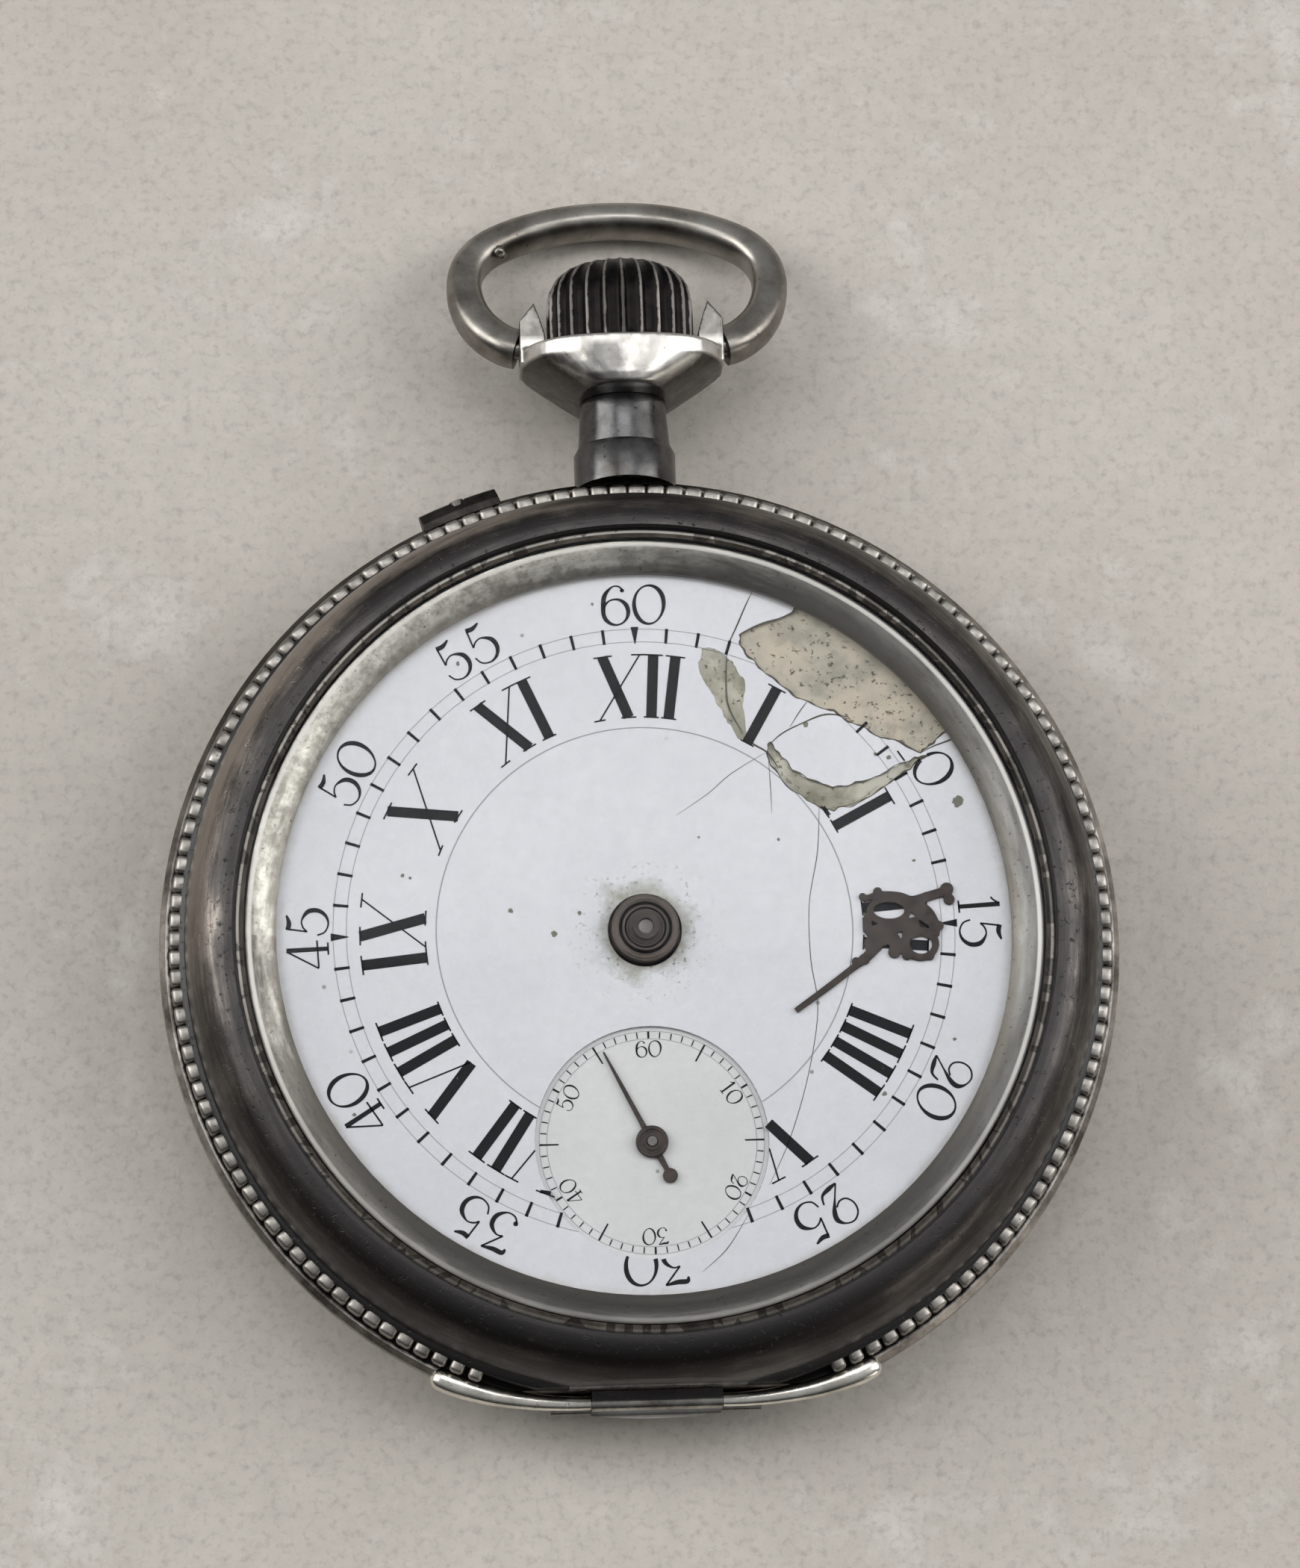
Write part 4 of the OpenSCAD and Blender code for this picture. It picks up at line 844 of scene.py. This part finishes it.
def digit(bm, d):
    """An old-style numeral one unit high, with its left edge at 0. Gives its width and its vertices."""
    made = []
    if d == "0":
        made += pen(bm, oval(0.4, 0.5, 0.36, 0.48, THIN, THICK, 0.5), 5, True)
        return 0.86, made
    if d == "1":
        made += straight(bm, 0.26, 0.0, 0.26, 1.0, THICK)
        made += pen(bm, [(0.08, 0.8, THIN), (0.15, 0.85, THIN), (0.24, 0.98, THIN)], 4)
        made += straight(bm, 0.1, 0.015, 0.42, 0.015, THIN)
        return 0.56, made
    if d == "2":
        made += pen(bm, [(0.44, 0.5, THIN), (0.3, 0.41, THIN), (0.13, 0.45, THIN), (0.04, 0.64, THIN),
                         (0.09, 0.86, THIN), (0.27, 0.985, THIN), (0.47, 0.93, THIN), (0.59, 0.77, THICK),
                         (0.55, 0.57, THICK), (0.36, 0.3, THIN), (0.12, 0.01, THIN)], 5)
        made += pen(bm, [(0.12, 0.01, THIN), (0.34, 0.03, THICK), (0.58, 0.09, THICK * 0.6),
                         (0.67, 0.29, THIN)], 4)
        return 0.76, made
    if d == "3":
        made += pen(bm, [(0.1, 0.82, THIN), (0.14, 0.93, THICK), (0.36, 0.93, THICK), (0.62, 0.99, THIN)], 4)
        made += straight(bm, 0.62, 0.99, 0.27, 0.56, THIN)
        made += pen(bm, [(0.27, 0.56, THIN), (0.44, 0.58, THIN), (0.63, 0.42, THICK), (0.62, 0.18, THICK),
                         (0.42, 0.01, THIN), (0.2, 0.02, THIN), (0.08, 0.16, THIN)], 4)
        made += ball(bm, 0.11, 0.17, 0.06)
        return 0.78, made
    if d == "4":
        made += straight(bm, 0.5, 1.0, 0.04, 0.27, THIN)
        made += straight(bm, 0.04, 0.27, 0.74, 0.27, THIN)
        made += straight(bm, 0.52, 1.0, 0.52, 0.0, THICK)
        made += straight(bm, 0.36, 0.015, 0.68, 0.015, THIN)
        return 0.82, made
    if d == "5":
        made += pen(bm, [(0.18, 0.96, THICK), (0.34, 0.93, THICK), (0.52, 1.0, THIN)], 4)
        made += straight(bm, 0.2, 0.95, 0.14, 0.5, THIN)
        made += pen(bm, [(0.14, 0.5, THIN), (0.25, 0.6, THIN), (0.42, 0.63, THIN), (0.63, 0.49, THICK),
                         (0.67, 0.26, THICK), (0.55, 0.07, THICK * 0.7), (0.34, 0.0, THIN),
                         (0.13, 0.08, THIN), (0.05, 0.26, THIN)], 5)
        return 0.8, made
    made += pen(bm, oval(0.38, 0.33, 0.31, 0.32, THIN, THICK, 0.3), 5, True)
    made += pen(bm, [(0.58, 0.86, THIN), (0.5, 0.96, THIN), (0.34, 0.96, THIN), (0.14, 0.74, THICK),
                     (0.07, 0.36, THICK)], 5)
    made += ball(bm, 0.57, 0.86, 0.05)
    return 0.8, made


ROMAN_HIGH = 3.4
ROMAN_INNER = 11.5
BOLD, HAIR = 0.56, 0.085


def roman_strokes(text):
    """Strokes of a numeral as (inner x, outer x, width), and its serifs, all about its middle."""
    wide_x = len(text) == 1
    widths = {"I": 0.62, "V": 2.1, "X": 2.3}
    gap = 0.43
    total = sum(widths[c] for c in text) + gap * (len(text) - 1)
    lines, serifs, x = [], [], -total / 2
    for c in text:
        w = widths[c]
        mid = x + w / 2
        if c == "I":
            lines.append((mid, mid, BOLD))
            serifs += [(mid - 0.46, mid + 0.46, 0), (mid - 0.46, mid + 0.46, 1)]
        elif c == "V":
            lines += [(x + 1.14, x + 0.3, BOLD), (x + 1.2, x + w - 0.1, HAIR)]
            serifs += [(x - 0.16, x + 0.76, 1), (x + w - 0.45, x + w + 0.25, 1)]
        else:
            thick, thin = (0.77, 1.6) if wide_x else (0.52, 1.25)
            lines += [(mid + thick, mid - thick, BOLD), (mid - thin, mid + thin, HAIR)]
            serifs += [(mid - thick - 0.42, mid - thick + 0.46, 1),
                       (mid + thin - 0.4, mid + thin + 0.3, 1), (mid - thin - 0.35, mid - thin + 0.35, 0),
                       (mid + thick - 0.46, mid + thick + 0.46, 0)]
        x += w + gap
    return lines, serifs


def bend_round(verts, angle, base, spread):
    """Wrap flat lettering round the dial: x runs clockwise, y runs outward from base."""
    for v in verts:
        r = base + v.co.y
        a = pi / 2 - (radians(angle) + v.co.x / spread)
        v.co = Vector((r * cos(a), r * sin(a), 0))


def roman(bm, text, hour):
    """An hour numeral whose strokes stay straight while it fans out round the dial."""
    lines, serifs = roman_strokes(text)

    def at(x, y):
        a = pi / 2 - (radians(hour * 30) + x / 13.2)
        return (ROMAN_INNER + y) * cos(a), (ROMAN_INNER + y) * sin(a)

    for low, high, w in lines:
        straight(bm, *at(low, 0), *at(high, ROMAN_HIGH), w, w, 24)
    for left, right, top in serifs:
        y = ROMAN_HIGH if top else 0.0
        straight(bm, *at(left, y), *at(right, y), HAIR)


def number(bm, text, angle, inner, high, spread, centre=(0, 0)):
    verts, x = [], 0.0
    for d in text:
        w, made = digit(bm, d)
        for v in made:
            v.co.x += x
        verts += made
        x += w
    for v in verts:
        v.co.x = (v.co.x - x / 2) * high * 0.98
        v.co.y *= high
    bend_round(verts, angle, inner, spread)
    for v in verts:
        v.co.x += centre[0]
        v.co.y += centre[1]


def circle_line(bm, r, w, steps=180, centre=(0, 0)):
    ring = pen(bm, [(r * sin(2 * pi * k / steps), r * cos(2 * pi * k / steps), w) for k in range(steps)],
               1, True)
    for v in ring:
        v.co.x += centre[0]
        v.co.y += centre[1]


def tick(bm, angle, r0, r1, w0, w1, centre=(0, 0)):
    a = pi / 2 - radians(angle)
    verts = straight(bm, r0, 0, r1, 0, w0, w1)
    bmesh.ops.rotate(bm, cent=(0, 0, 0), matrix=Matrix.Rotation(a, 3, "Z"), verts=verts)
    bmesh.ops.translate(bm, vec=(centre[0], centre[1], 0), verts=verts)


def printed(name, bm, z, finish, slot="white_enamel", keep=None):
    """Give flat print a little thickness and lay it on the enamel; keep says which faces stay."""
    if keep:
        gone = [f for f in bm.faces if not keep(f.calc_center_median())]
        bmesh.ops.delete(bm, geom=gone, context="FACES")
    bmesh.ops.recalc_face_normals(bm, faces=bm.faces)
    down = [f for f in bm.faces if f.normal.z < 0]
    bmesh.ops.reverse_faces(bm, faces=down)
    grown = bmesh.ops.extrude_face_region(bm, geom=bm.faces[:])
    top = [v for v in grown["geom"] if isinstance(v, bmesh.types.BMVert)]
    bmesh.ops.translate(bm, vec=(0, 0, PRINT_THICK), verts=top)
    bmesh.ops.translate(bm, vec=(0, 0, z), verts=bm.verts)
    bmesh.ops.recalc_face_normals(bm, faces=bm.faces)
    return placed(name, bm, "root", slot, finish, angle=40)


# Where the enamel is gone or split: outlines in millimetres on the dial
MAIN_CHIP = [(5.6, 16.0), (8.4, 17.0), (8.9, 17.6), (10.6, 17.05), (12.8, 15.5), (15.0, 13.4), (17.0, 10.9),
             (16.4, 10.4), (15.6, 9.8), (14.9, 9.2), (13.5, 10.0), (12.7, 10.2), (11.8, 10.75), (11.2, 11.0),
             (10.4, 11.5), (9.5, 11.9), (8.5, 12.4), (7.6, 13.1), (6.9, 13.7), (6.2, 14.4), (5.6, 15.3)]
SIDE_CHIP = [(3.55, 15.2), (4.2, 15.15), (4.8, 14.75), (5.3, 14.1), (5.75, 13.4), (5.6, 12.0), (5.8, 10.2),
             (5.3, 10.25), (4.75, 11.1), (4.4, 11.9), (4.05, 12.5), (3.8, 13.0), (3.4, 13.8), (3.3, 14.4)]
CRESCENT = [(6.7, 9.3), (7.3, 8.2), (8.2, 7.2), (9.2, 6.5), (10.2, 6.15), (11.2, 6.4), (12.2, 6.95),
            (13.3, 7.7), (14.3, 8.4), (15.3, 9.1), (14.6, 8.95), (13.4, 8.4), (12.2, 7.85), (11.2, 7.55),
            (10.2, 7.5), (9.1, 7.85), (8.1, 8.5), (7.4, 9.4), (7.0, 10.0)]


def inside(shape, x, y):
    hit = False
    for (x0, y0), (x1, y1) in zip(shape, shape[1:] + shape[:1]):
        if (y0 > y) != (y1 > y) and x < (x1 - x0) * (y - y0) / (y1 - y0) + x0:
            hit = not hit
    return hit


def on_enamel(at):
    if hypot(at.x, at.y - SECONDS_Y) < SECONDS_R:
        return False
    return not any(inside(shape, at.x, at.y) for shape in (MAIN_CHIP, CRESCENT))


black_print = ink("black_print", (0.01, 0.0105, 0.013), (0.2, 0.2, 0.22), 0.68)
grey_print = ink("grey_print", (0.36, 0.365, 0.39), (0.6, 0.61, 0.65), 0.6)

hours = bmesh.new()
for hour, text in enumerate(("XII", "I", "II", "III", "IIII", "V", None, "VII", "VIII", "IX", "X", "XI")):
    if text:
        roman(hours, text, hour)
printed("hour_print", hours, DIAL_Z, black_print, keep=on_enamel)

minutes = bmesh.new()
for minute in range(60):
    if minute % 15 == 0:
        tick(minutes, minute * 6, 15.5, 16.42, 0.05, 0.42)
    else:
        tick(minutes, minute * 6, 15.55, 16.36, 0.15, 0.17)
for minute, text in ((60, "60"), (5, "5"), (10, "10"), (15, "15"), (20, "20"), (25, "25"), (30, "30"),
                     (35, "35"), (40, "40"), (45, "45"), (50, "50"), (55, "55")):
    if minute != 5:
        number(minutes, text, minute * 6, 16.55, 2.2, 17.4)
printed("minute_print", minutes, DIAL_Z, black_print, keep=on_enamel)

circles = bmesh.new()
circle_line(circles, 10.92, 0.06)
circle_line(circles, 15.6, 0.035)
circle_line(circles, 16.3, 0.035)
printed("circle_print", circles, DIAL_Z, grey_print, keep=on_enamel)

small = bmesh.new()
SUB = (0, SECONDS_Y)
for second in range(60):
    if second % 10 == 5:
        tick(small, second * 6, 4.85, 5.85, 0.08, 0.1, SUB)
    elif second % 5 == 0:
        tick(small, second * 6, 5.48, 5.85, 0.1, 0.11, SUB)
    else:
        tick(small, second * 6, 5.5, 5.82, 0.06, 0.06, SUB)
for second, text in ((0, "60"), (10, "10"), (20, "20"), (30, "30"), (40, "40"), (50, "50")):
    number(small, text, second * 6, 4.5, 0.88, 4.95, SUB)
printed("seconds_print", small, SECONDS_Z, black_print, slot="grey_enamel")
small_rings = bmesh.new()
circle_line(small_rings, 5.46, 0.03, 120, SUB)
circle_line(small_rings, 5.86, 0.03, 120, SUB)
printed("seconds_circles", small_rings, SECONDS_Z, grey_print, slot="grey_enamel")


# ---------- dial, chips and cracks ----------

def outline_block(shape, low, high):
    """A flat block with a given outline."""
    bm = bmesh.new()
    face = bm.faces.new([bm.verts.new((x, y, low)) for x, y in shape])
    grow(bm, face, high - low)
    bmesh.ops.recalc_face_normals(bm, faces=bm.faces)
    return bm


def ragged(shape, parts=5, seed=0.0):
    """Break an outline's straight runs into small irregular steps."""
    out = []
    for (x0, y0), (x1, y1) in zip(shape, shape[1:] + shape[:1]):
        for k in range(parts):
            t = k / parts
            x, y = x0 + (x1 - x0) * t, y0 + (y1 - y0) * t
            shift = noise.noise(Vector((x * 1.7, y * 1.7, seed))) * RAGGED_REACH * 1.6
            fine = noise.noise(Vector((x * 6, y * 6, seed + 3))) * RAGGED_REACH
            run = hypot(x1 - x0, y1 - y0) or 1
            out.append((x - (y1 - y0) / run * (shift + fine), y + (x1 - x0) / run * (shift + fine)))
    return out


def cutter(name, shape, low, high):
    bm = outline_block(shape, low, high)
    bmesh.ops.scale(bm, vec=(MM, MM, MM), verts=bm.verts)
    mesh = bpy.data.meshes.new(name)
    bm.to_mesh(mesh)
    bm.free()
    tool = bpy.data.objects.new(name, mesh)
    bpy.context.scene.collection.objects.link(tool)
    return tool


dial_piece = refined("dial", "root", "white_enamel")
for k, (shape, depth) in enumerate(((MAIN_CHIP, 0.16), (CRESCENT, 0.09), (SIDE_CHIP, 0.05))):
    tool = cutter("chip_tool", ragged(shape, seed=k * 5.0), DIAL_Z - depth, DIAL_Z + 0.3)
    cut = dial_piece.modifiers.new("chip", "BOOLEAN")
    cut.operation = "DIFFERENCE"
    cut.solver = "EXACT"
    cut.object = tool
    mesh = bpy.data.meshes.new_from_object(dial_piece.evaluated_get(bpy.context.evaluated_depsgraph_get()))
    dial_piece.modifiers.clear()
    dial_piece.data = mesh
    bpy.data.objects.remove(tool)

cream = bare_ground("cream_ground", (0.36, 0.345, 0.28), (0.5, 0.465, 0.375), (0.6, 0.525, 0.42))
olive = bare_ground("olive_ground", (0.2, 0.195, 0.14), (0.36, 0.35, 0.27), (0.55, 0.53, 0.45))
for name, shape, seed, low, ground in (("bare_patch", MAIN_CHIP, 0.0, 0.2, cream),
                                       ("bare_crescent", CRESCENT, 5.0, 0.13, olive),
                                       ("bare_side", SIDE_CHIP, 10.0, 0.09, olive)):
    block = outline_block(ragged(shape, seed=seed), DIAL_Z - low, DIAL_Z - low + 0.05)
    placed(name, block, "root", "white_enamel", ground)

crack_finish = ink("crack_dirt", (0.085, 0.078, 0.06), (0.35, 0.34, 0.3), 0.62)
CRACKS = [
    ([(4.8, 14.8), (5.1, 15.6), (5.5, 16.5), (5.9, 17.5), (6.4, 18.3)], 0.07),
    ([(5.6, 10.4), (4.9, 11.9), (4.8, 13.4), (4.85, 14.8)], 0.08),
    ([(5.7, 10.2), (6.2, 9.8), (6.8, 9.4), (7.3, 8.5)], 0.1),
    ([(6.8, 9.7), (7.6, 10.4), (8.7, 11.0), (10.0, 11.4), (11.2, 11.2)], 0.08),
    ([(8.0, 10.8), (8.6, 11.6), (9.0, 12.1)], 0.07),
    ([(6.7, 9.4), (4.9, 8.3), (3.5, 7.2), (1.9, 6.1)], 0.03),
    ([(6.8, 9.3), (6.9, 7.6), (6.95, 6.2)], 0.035),
    ([(9.4, 6.9), (9.2, 4.0), (8.7, 1.2), (8.7, -1.8), (8.9, -4.5), (8.2, -8.0), (7.2, -11.2),
      (6.0, -13.6)], 0.04),
    ([(4.9, -15.2), (3.7, -16.9), (2.4, -18.1)], 0.035),
    ([(14.9, 9.2), (15.6, 9.6), (16.4, 9.9), (17.2, 10.2)], 0.09),
    ([(12.6, 7.5), (11.4, 6.6), (10.0, 6.3)], 0.03),
]
cracks = bmesh.new()
for nodes, w in CRACKS:
    wavy = []
    for k, (x, y) in enumerate(nodes):
        end = 0.35 if k in (0, len(nodes) - 1) else 1
        wavy.append((x + dice.uniform(-0.06, 0.06), y + dice.uniform(-0.06, 0.06),
                     w * end * dice.uniform(0.7, 1.2)))
    pen(cracks, wavy, 6)
for shape, w, seed in ((MAIN_CHIP, 0.1, 0.0), (CRESCENT, 0.08, 5.0)):
    rim = ragged(shape, parts=4, seed=seed)
    pen(cracks, [(x, y, w * dice.uniform(0.3, 1.3)) for x, y in rim], 2, True)
printed("crack_lines", cracks, DIAL_Z, crack_finish)

specks = bmesh.new()
for x, y, r in ((16.75, 6.55, 0.3), (-7.0, 1.2, 0.13), (-4.75, -0.1, 0.16), (-3.4, 1.0, 0.11),
                (-12.6, 3.2, 0.1), (-12.2, 3.05, 0.08), (7.2, 4.7, 0.08), (14.3, 3.4, 0.08),
                (-17.6, 9.6, 0.12), (3.0, 4.9, 0.07), (-15.4, -9.4, 0.1), (12.2, -9.0, 0.12),
                (16.0, -6.2, 0.09), (-9.4, 14.6, 0.1), (-2.2, 17.7, 0.08), (8.9, 10.9, 0.14),
                (13.2, 9.0, 0.12), (12.5, 9.2, 0.1), (14.2, 8.6, 0.12)):
    spot = bmesh.ops.create_circle(specks, cap_ends=True, radius=r, segments=14)["verts"]
    for v in spot:
        v.co *= 1 + 0.5 * noise.noise(Vector((v.co.x * 9 + x, v.co.y * 9 + y, r)))
        v.co += Vector((x, y, 0))
printed("dial_specks", specks, DIAL_Z, ink("speck_dirt", (0.2, 0.195, 0.16), (0.45, 0.44, 0.38), 0.6))

refined("seconds_dial", "root", "grey_enamel")


# ---------- hands and hub ----------

hub = turned([(0.93, 7.75), (1.77, 7.75), (1.77, 9.6), (1.7, 9.7), (1.52, 9.72), (1.46, 9.66), (1.4, 9.72),
              (1.22, 9.72), (1.16, 9.66), (1.1, 9.72), (0.98, 9.72), (0.93, 9.68)], 96)
hub_finish = hub_steel()
placed("hour_hub", hub, "hour_group", "rusted_steel", hub_finish)
refined("hour_wheel", "hour_group", "rusted_steel", hub_finish)
refined("cannon_pinion", "cannon_group", "rusted_steel", angle=35)
refined("centre_arbor", "centre_group", "bright_steel", FINISHES["dark_silver"])
refined("fourth_pinion", "fourth_group", SLOT_OF["fourth_pinion"], FINISHES["dark_silver"])


def seconds_hand():
    """A slim hand with a ball tail, on a turned boss."""
    bm = bmesh.new()
    pen(bm, [(0, -1.7, 0.26), (0, -0.8, 0.34), (0, 0, 0.4), (0, 1.2, 0.27), (0, 3.4, 0.2), (0, 5.35, 0.1)],
        6)
    ball(bm, 0, -2.0, 0.4)
    bmesh.ops.solidify(bm, geom=bm.faces[:], thickness=0.11)
    bmesh.ops.translate(bm, vec=(0, 0, DIAL_Z - 0.02), verts=bm.verts)
    boss = turned([(0.25, 8.88), (0.85, 8.88), (0.85, 9.04), (0.8, 9.1), (0.66, 9.1), (0.6, 9.04),
                   (0.5, 9.04), (0.46, 9.09), (0.3, 9.1), (0.25, 9.06)], 48)
    mesh = bpy.data.meshes.new("boss")
    boss.to_mesh(mesh)
    boss.free()
    bm.from_mesh(mesh)
    bmesh.ops.rotate(bm, cent=(0, 0, 0), matrix=Matrix.Rotation(radians(HAND_TURN), 3, "Z"), verts=bm.verts)
    bmesh.ops.translate(bm, vec=(0, SECONDS_Y, 0), verts=bm.verts)
    bmesh.ops.recalc_face_normals(bm, faces=bm.faces)
    return bm


fused(placed("seconds_hand_worn", seconds_hand(), "fourth_group", "rusted_steel",
             replaces=["seconds_hand"]), 0.03, 2)


def hand_fragment():
    """The broken minute hand: a slim shaft, then pierced loops, lobes and a knob."""
    bm = bmesh.new()
    pen(bm, [(7.75, -4.5, 0.3), (9.4, -3.35, 0.34), (10.9, -2.25, 0.36), (11.5, -1.8, 0.5),
             (12.2, -1.1, 0.6)], 6)
    pen(bm, oval(12.85, 0.72, 1.0, 0.62, 0.34, 0.4, 0.8), 5, True)
    pen(bm, oval(14.45, -1.1, 0.78, 0.72, 0.36, 0.4, 0.8), 5, True)
    pen(bm, [(11.5, 1.35, 0.3), (12.4, 1.55, 0.4), (13.4, 1.5, 0.4), (14.1, 1.2, 0.55), (15.0, 1.45, 0.5),
             (15.9, 1.7, 0.5)], 5)
    pen(bm, [(14.0, 1.1, 0.6), (14.7, 0.55, 0.9), (15.2, -0.1, 0.6), (15.25, -0.7, 0.4)], 5)
    pen(bm, [(11.75, 0.6, 0.4), (11.7, -0.2, 0.5), (12.2, -0.5, 0.7), (13.2, -0.2, 0.6), (14.4, 0.1, 0.6)],
        5)
    pen(bm, [(13.7, 0.1, 0.35), (13.65, -0.7, 0.35), (13.5, -1.3, 0.45), (12.8, -1.4, 0.5)], 5)
    pen(bm, [(13.9, -0.75, 0.2), (14.5, -0.6, 0.2), (15.0, -0.8, 0.2)], 4)
    for x, y, r in ((15.95, 1.8, 0.36), (16.05, 1.25, 0.3), (12.35, -0.6, 0.62), (13.0, -0.85, 0.4),
                    (11.85, -1.05, 0.4), (13.05, -1.5, 0.34), (11.45, -1.85, 0.3), (11.0, -1.95, 0.22),
                    (13.7, -1.7, 0.26), (12.3, 1.75, 0.24), (11.5, 1.5, 0.2), (15.45, -0.15, 0.26),
                    (14.9, -1.75, 0.24)):
        ball(bm, x, y, r)
    bmesh.ops.solidify(bm, geom=bm.faces[:], thickness=0.17)
    low = min(v.co.z for v in bm.verts)
    bmesh.ops.translate(bm, vec=(0, 0, DIAL_Z + PRINT_THICK - low), verts=bm.verts)
    bmesh.ops.recalc_face_normals(bm, faces=bm.faces)
    return bm


fused(placed("hand_fragment_rusty", hand_fragment(), "root", "rusted_steel",
             replaces=["minute_hand_fragment"]), 0.035, 2)

# Everything else keeps its CAD shape, with smooth shading
refined("setting_pusher", BODY_OF["setting_pusher"], SLOT_OF["setting_pusher"], FINISHES["dark_silver"])
done = set()
for piece in list(bpy.context.scene.objects):
    done.update(piece.get("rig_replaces", []))
for name in sorted(frame["nodes"]):
    if name not in done:
        refined(name, BODY_OF[name], SLOT_OF[name])


# ---------- floor, light and camera ----------

floor_mesh = bmesh.new()
bmesh.ops.create_grid(floor_mesh, x_segments=1, y_segments=1, size=0.9)
mesh = bpy.data.meshes.new("floor")
floor_mesh.to_mesh(mesh)
floor_mesh.free()
floor = bpy.data.objects.new("floor", mesh)
bpy.context.scene.collection.objects.link(floor)
mesh.materials.append(floor_finish().material)


def softbox(name, at, size, power, tint=(1, 1, 1)):
    """A soft rectangular light that faces the watch."""
    light = bpy.data.lights.new(name, "AREA")
    light.shape = "RECTANGLE"
    light.size, light.size_y = size
    light.energy = power
    light.color = tint
    lamp = bpy.data.objects.new(name, light)
    bpy.context.scene.collection.objects.link(lamp)
    lamp.location = at
    lamp.rotation_euler = (Vector((0, 0, 0.005)) - Vector(at)).to_track_quat("-Z", "Y").to_euler()
    return lamp


softbox("left", (-0.62, 0.2, 0.5), (0.45, 0.7), 4.4, (1.0, 0.99, 0.97))
softbox("right", (0.62, 0.12, 0.5), (0.45, 0.7), 3.9, (1.0, 0.99, 0.98))
softbox("overhead", (0.0, 0.3, 0.85), (0.5, 0.3), 1.5)
softbox("low_card", (0.5, -0.42, 0.16), (0.25, 0.2), 0.35, (1.0, 0.95, 0.86))

world = bpy.data.worlds.new("studio")
bpy.context.scene.world = world
world.use_nodes = True
tree = world.node_tree
where = tree.nodes.new("ShaderNodeTexCoord").outputs["Generated"]
parts = tree.nodes.new("ShaderNodeSeparateXYZ")
tree.links.new(where, parts.inputs[0])
lift = tree.nodes.new("ShaderNodeMath")
lift.operation = "MULTIPLY_ADD"
tree.links.new(parts.outputs[1], lift.inputs[0])
lift.inputs[1].default_value = 0.45
tree.links.new(parts.outputs[2], lift.inputs[2])
fade = tree.nodes.new("ShaderNodeMapRange")
fade.interpolation_type = "SMOOTHSTEP"
tree.links.new(lift.outputs[0], fade.inputs[0])
fade.inputs[1].default_value = -0.2
fade.inputs[2].default_value = 1.1
fade.inputs[3].default_value = 0.02
fade.inputs[4].default_value = 0.42
back = tree.nodes["Background"]
back.inputs[0].default_value = (0.95, 0.97, 1.0, 1)
tree.links.new(fade.outputs[0], back.inputs[1])

camera = bpy.data.objects.new("camera", bpy.data.cameras.new("camera"))
bpy.context.scene.collection.objects.link(camera)
camera.data.sensor_width = 36
camera.data.lens = 123.474
camera.data.clip_start = 0.01
right = Vector((0.9981, -0.0341, 0.0508))
up = Vector((0.0216, 0.9730, 0.2296))
ahead = Vector((0.0573, 0.2281, -0.9719))
pose = Matrix((right, up, -ahead)).transposed().to_4x4()
pose.translation = Vector((-15.695, -56.783, 284.397)) * MM
camera.matrix_world = pose
bpy.context.scene.camera = camera
bpy.context.scene.view_settings.view_transform = "Standard"
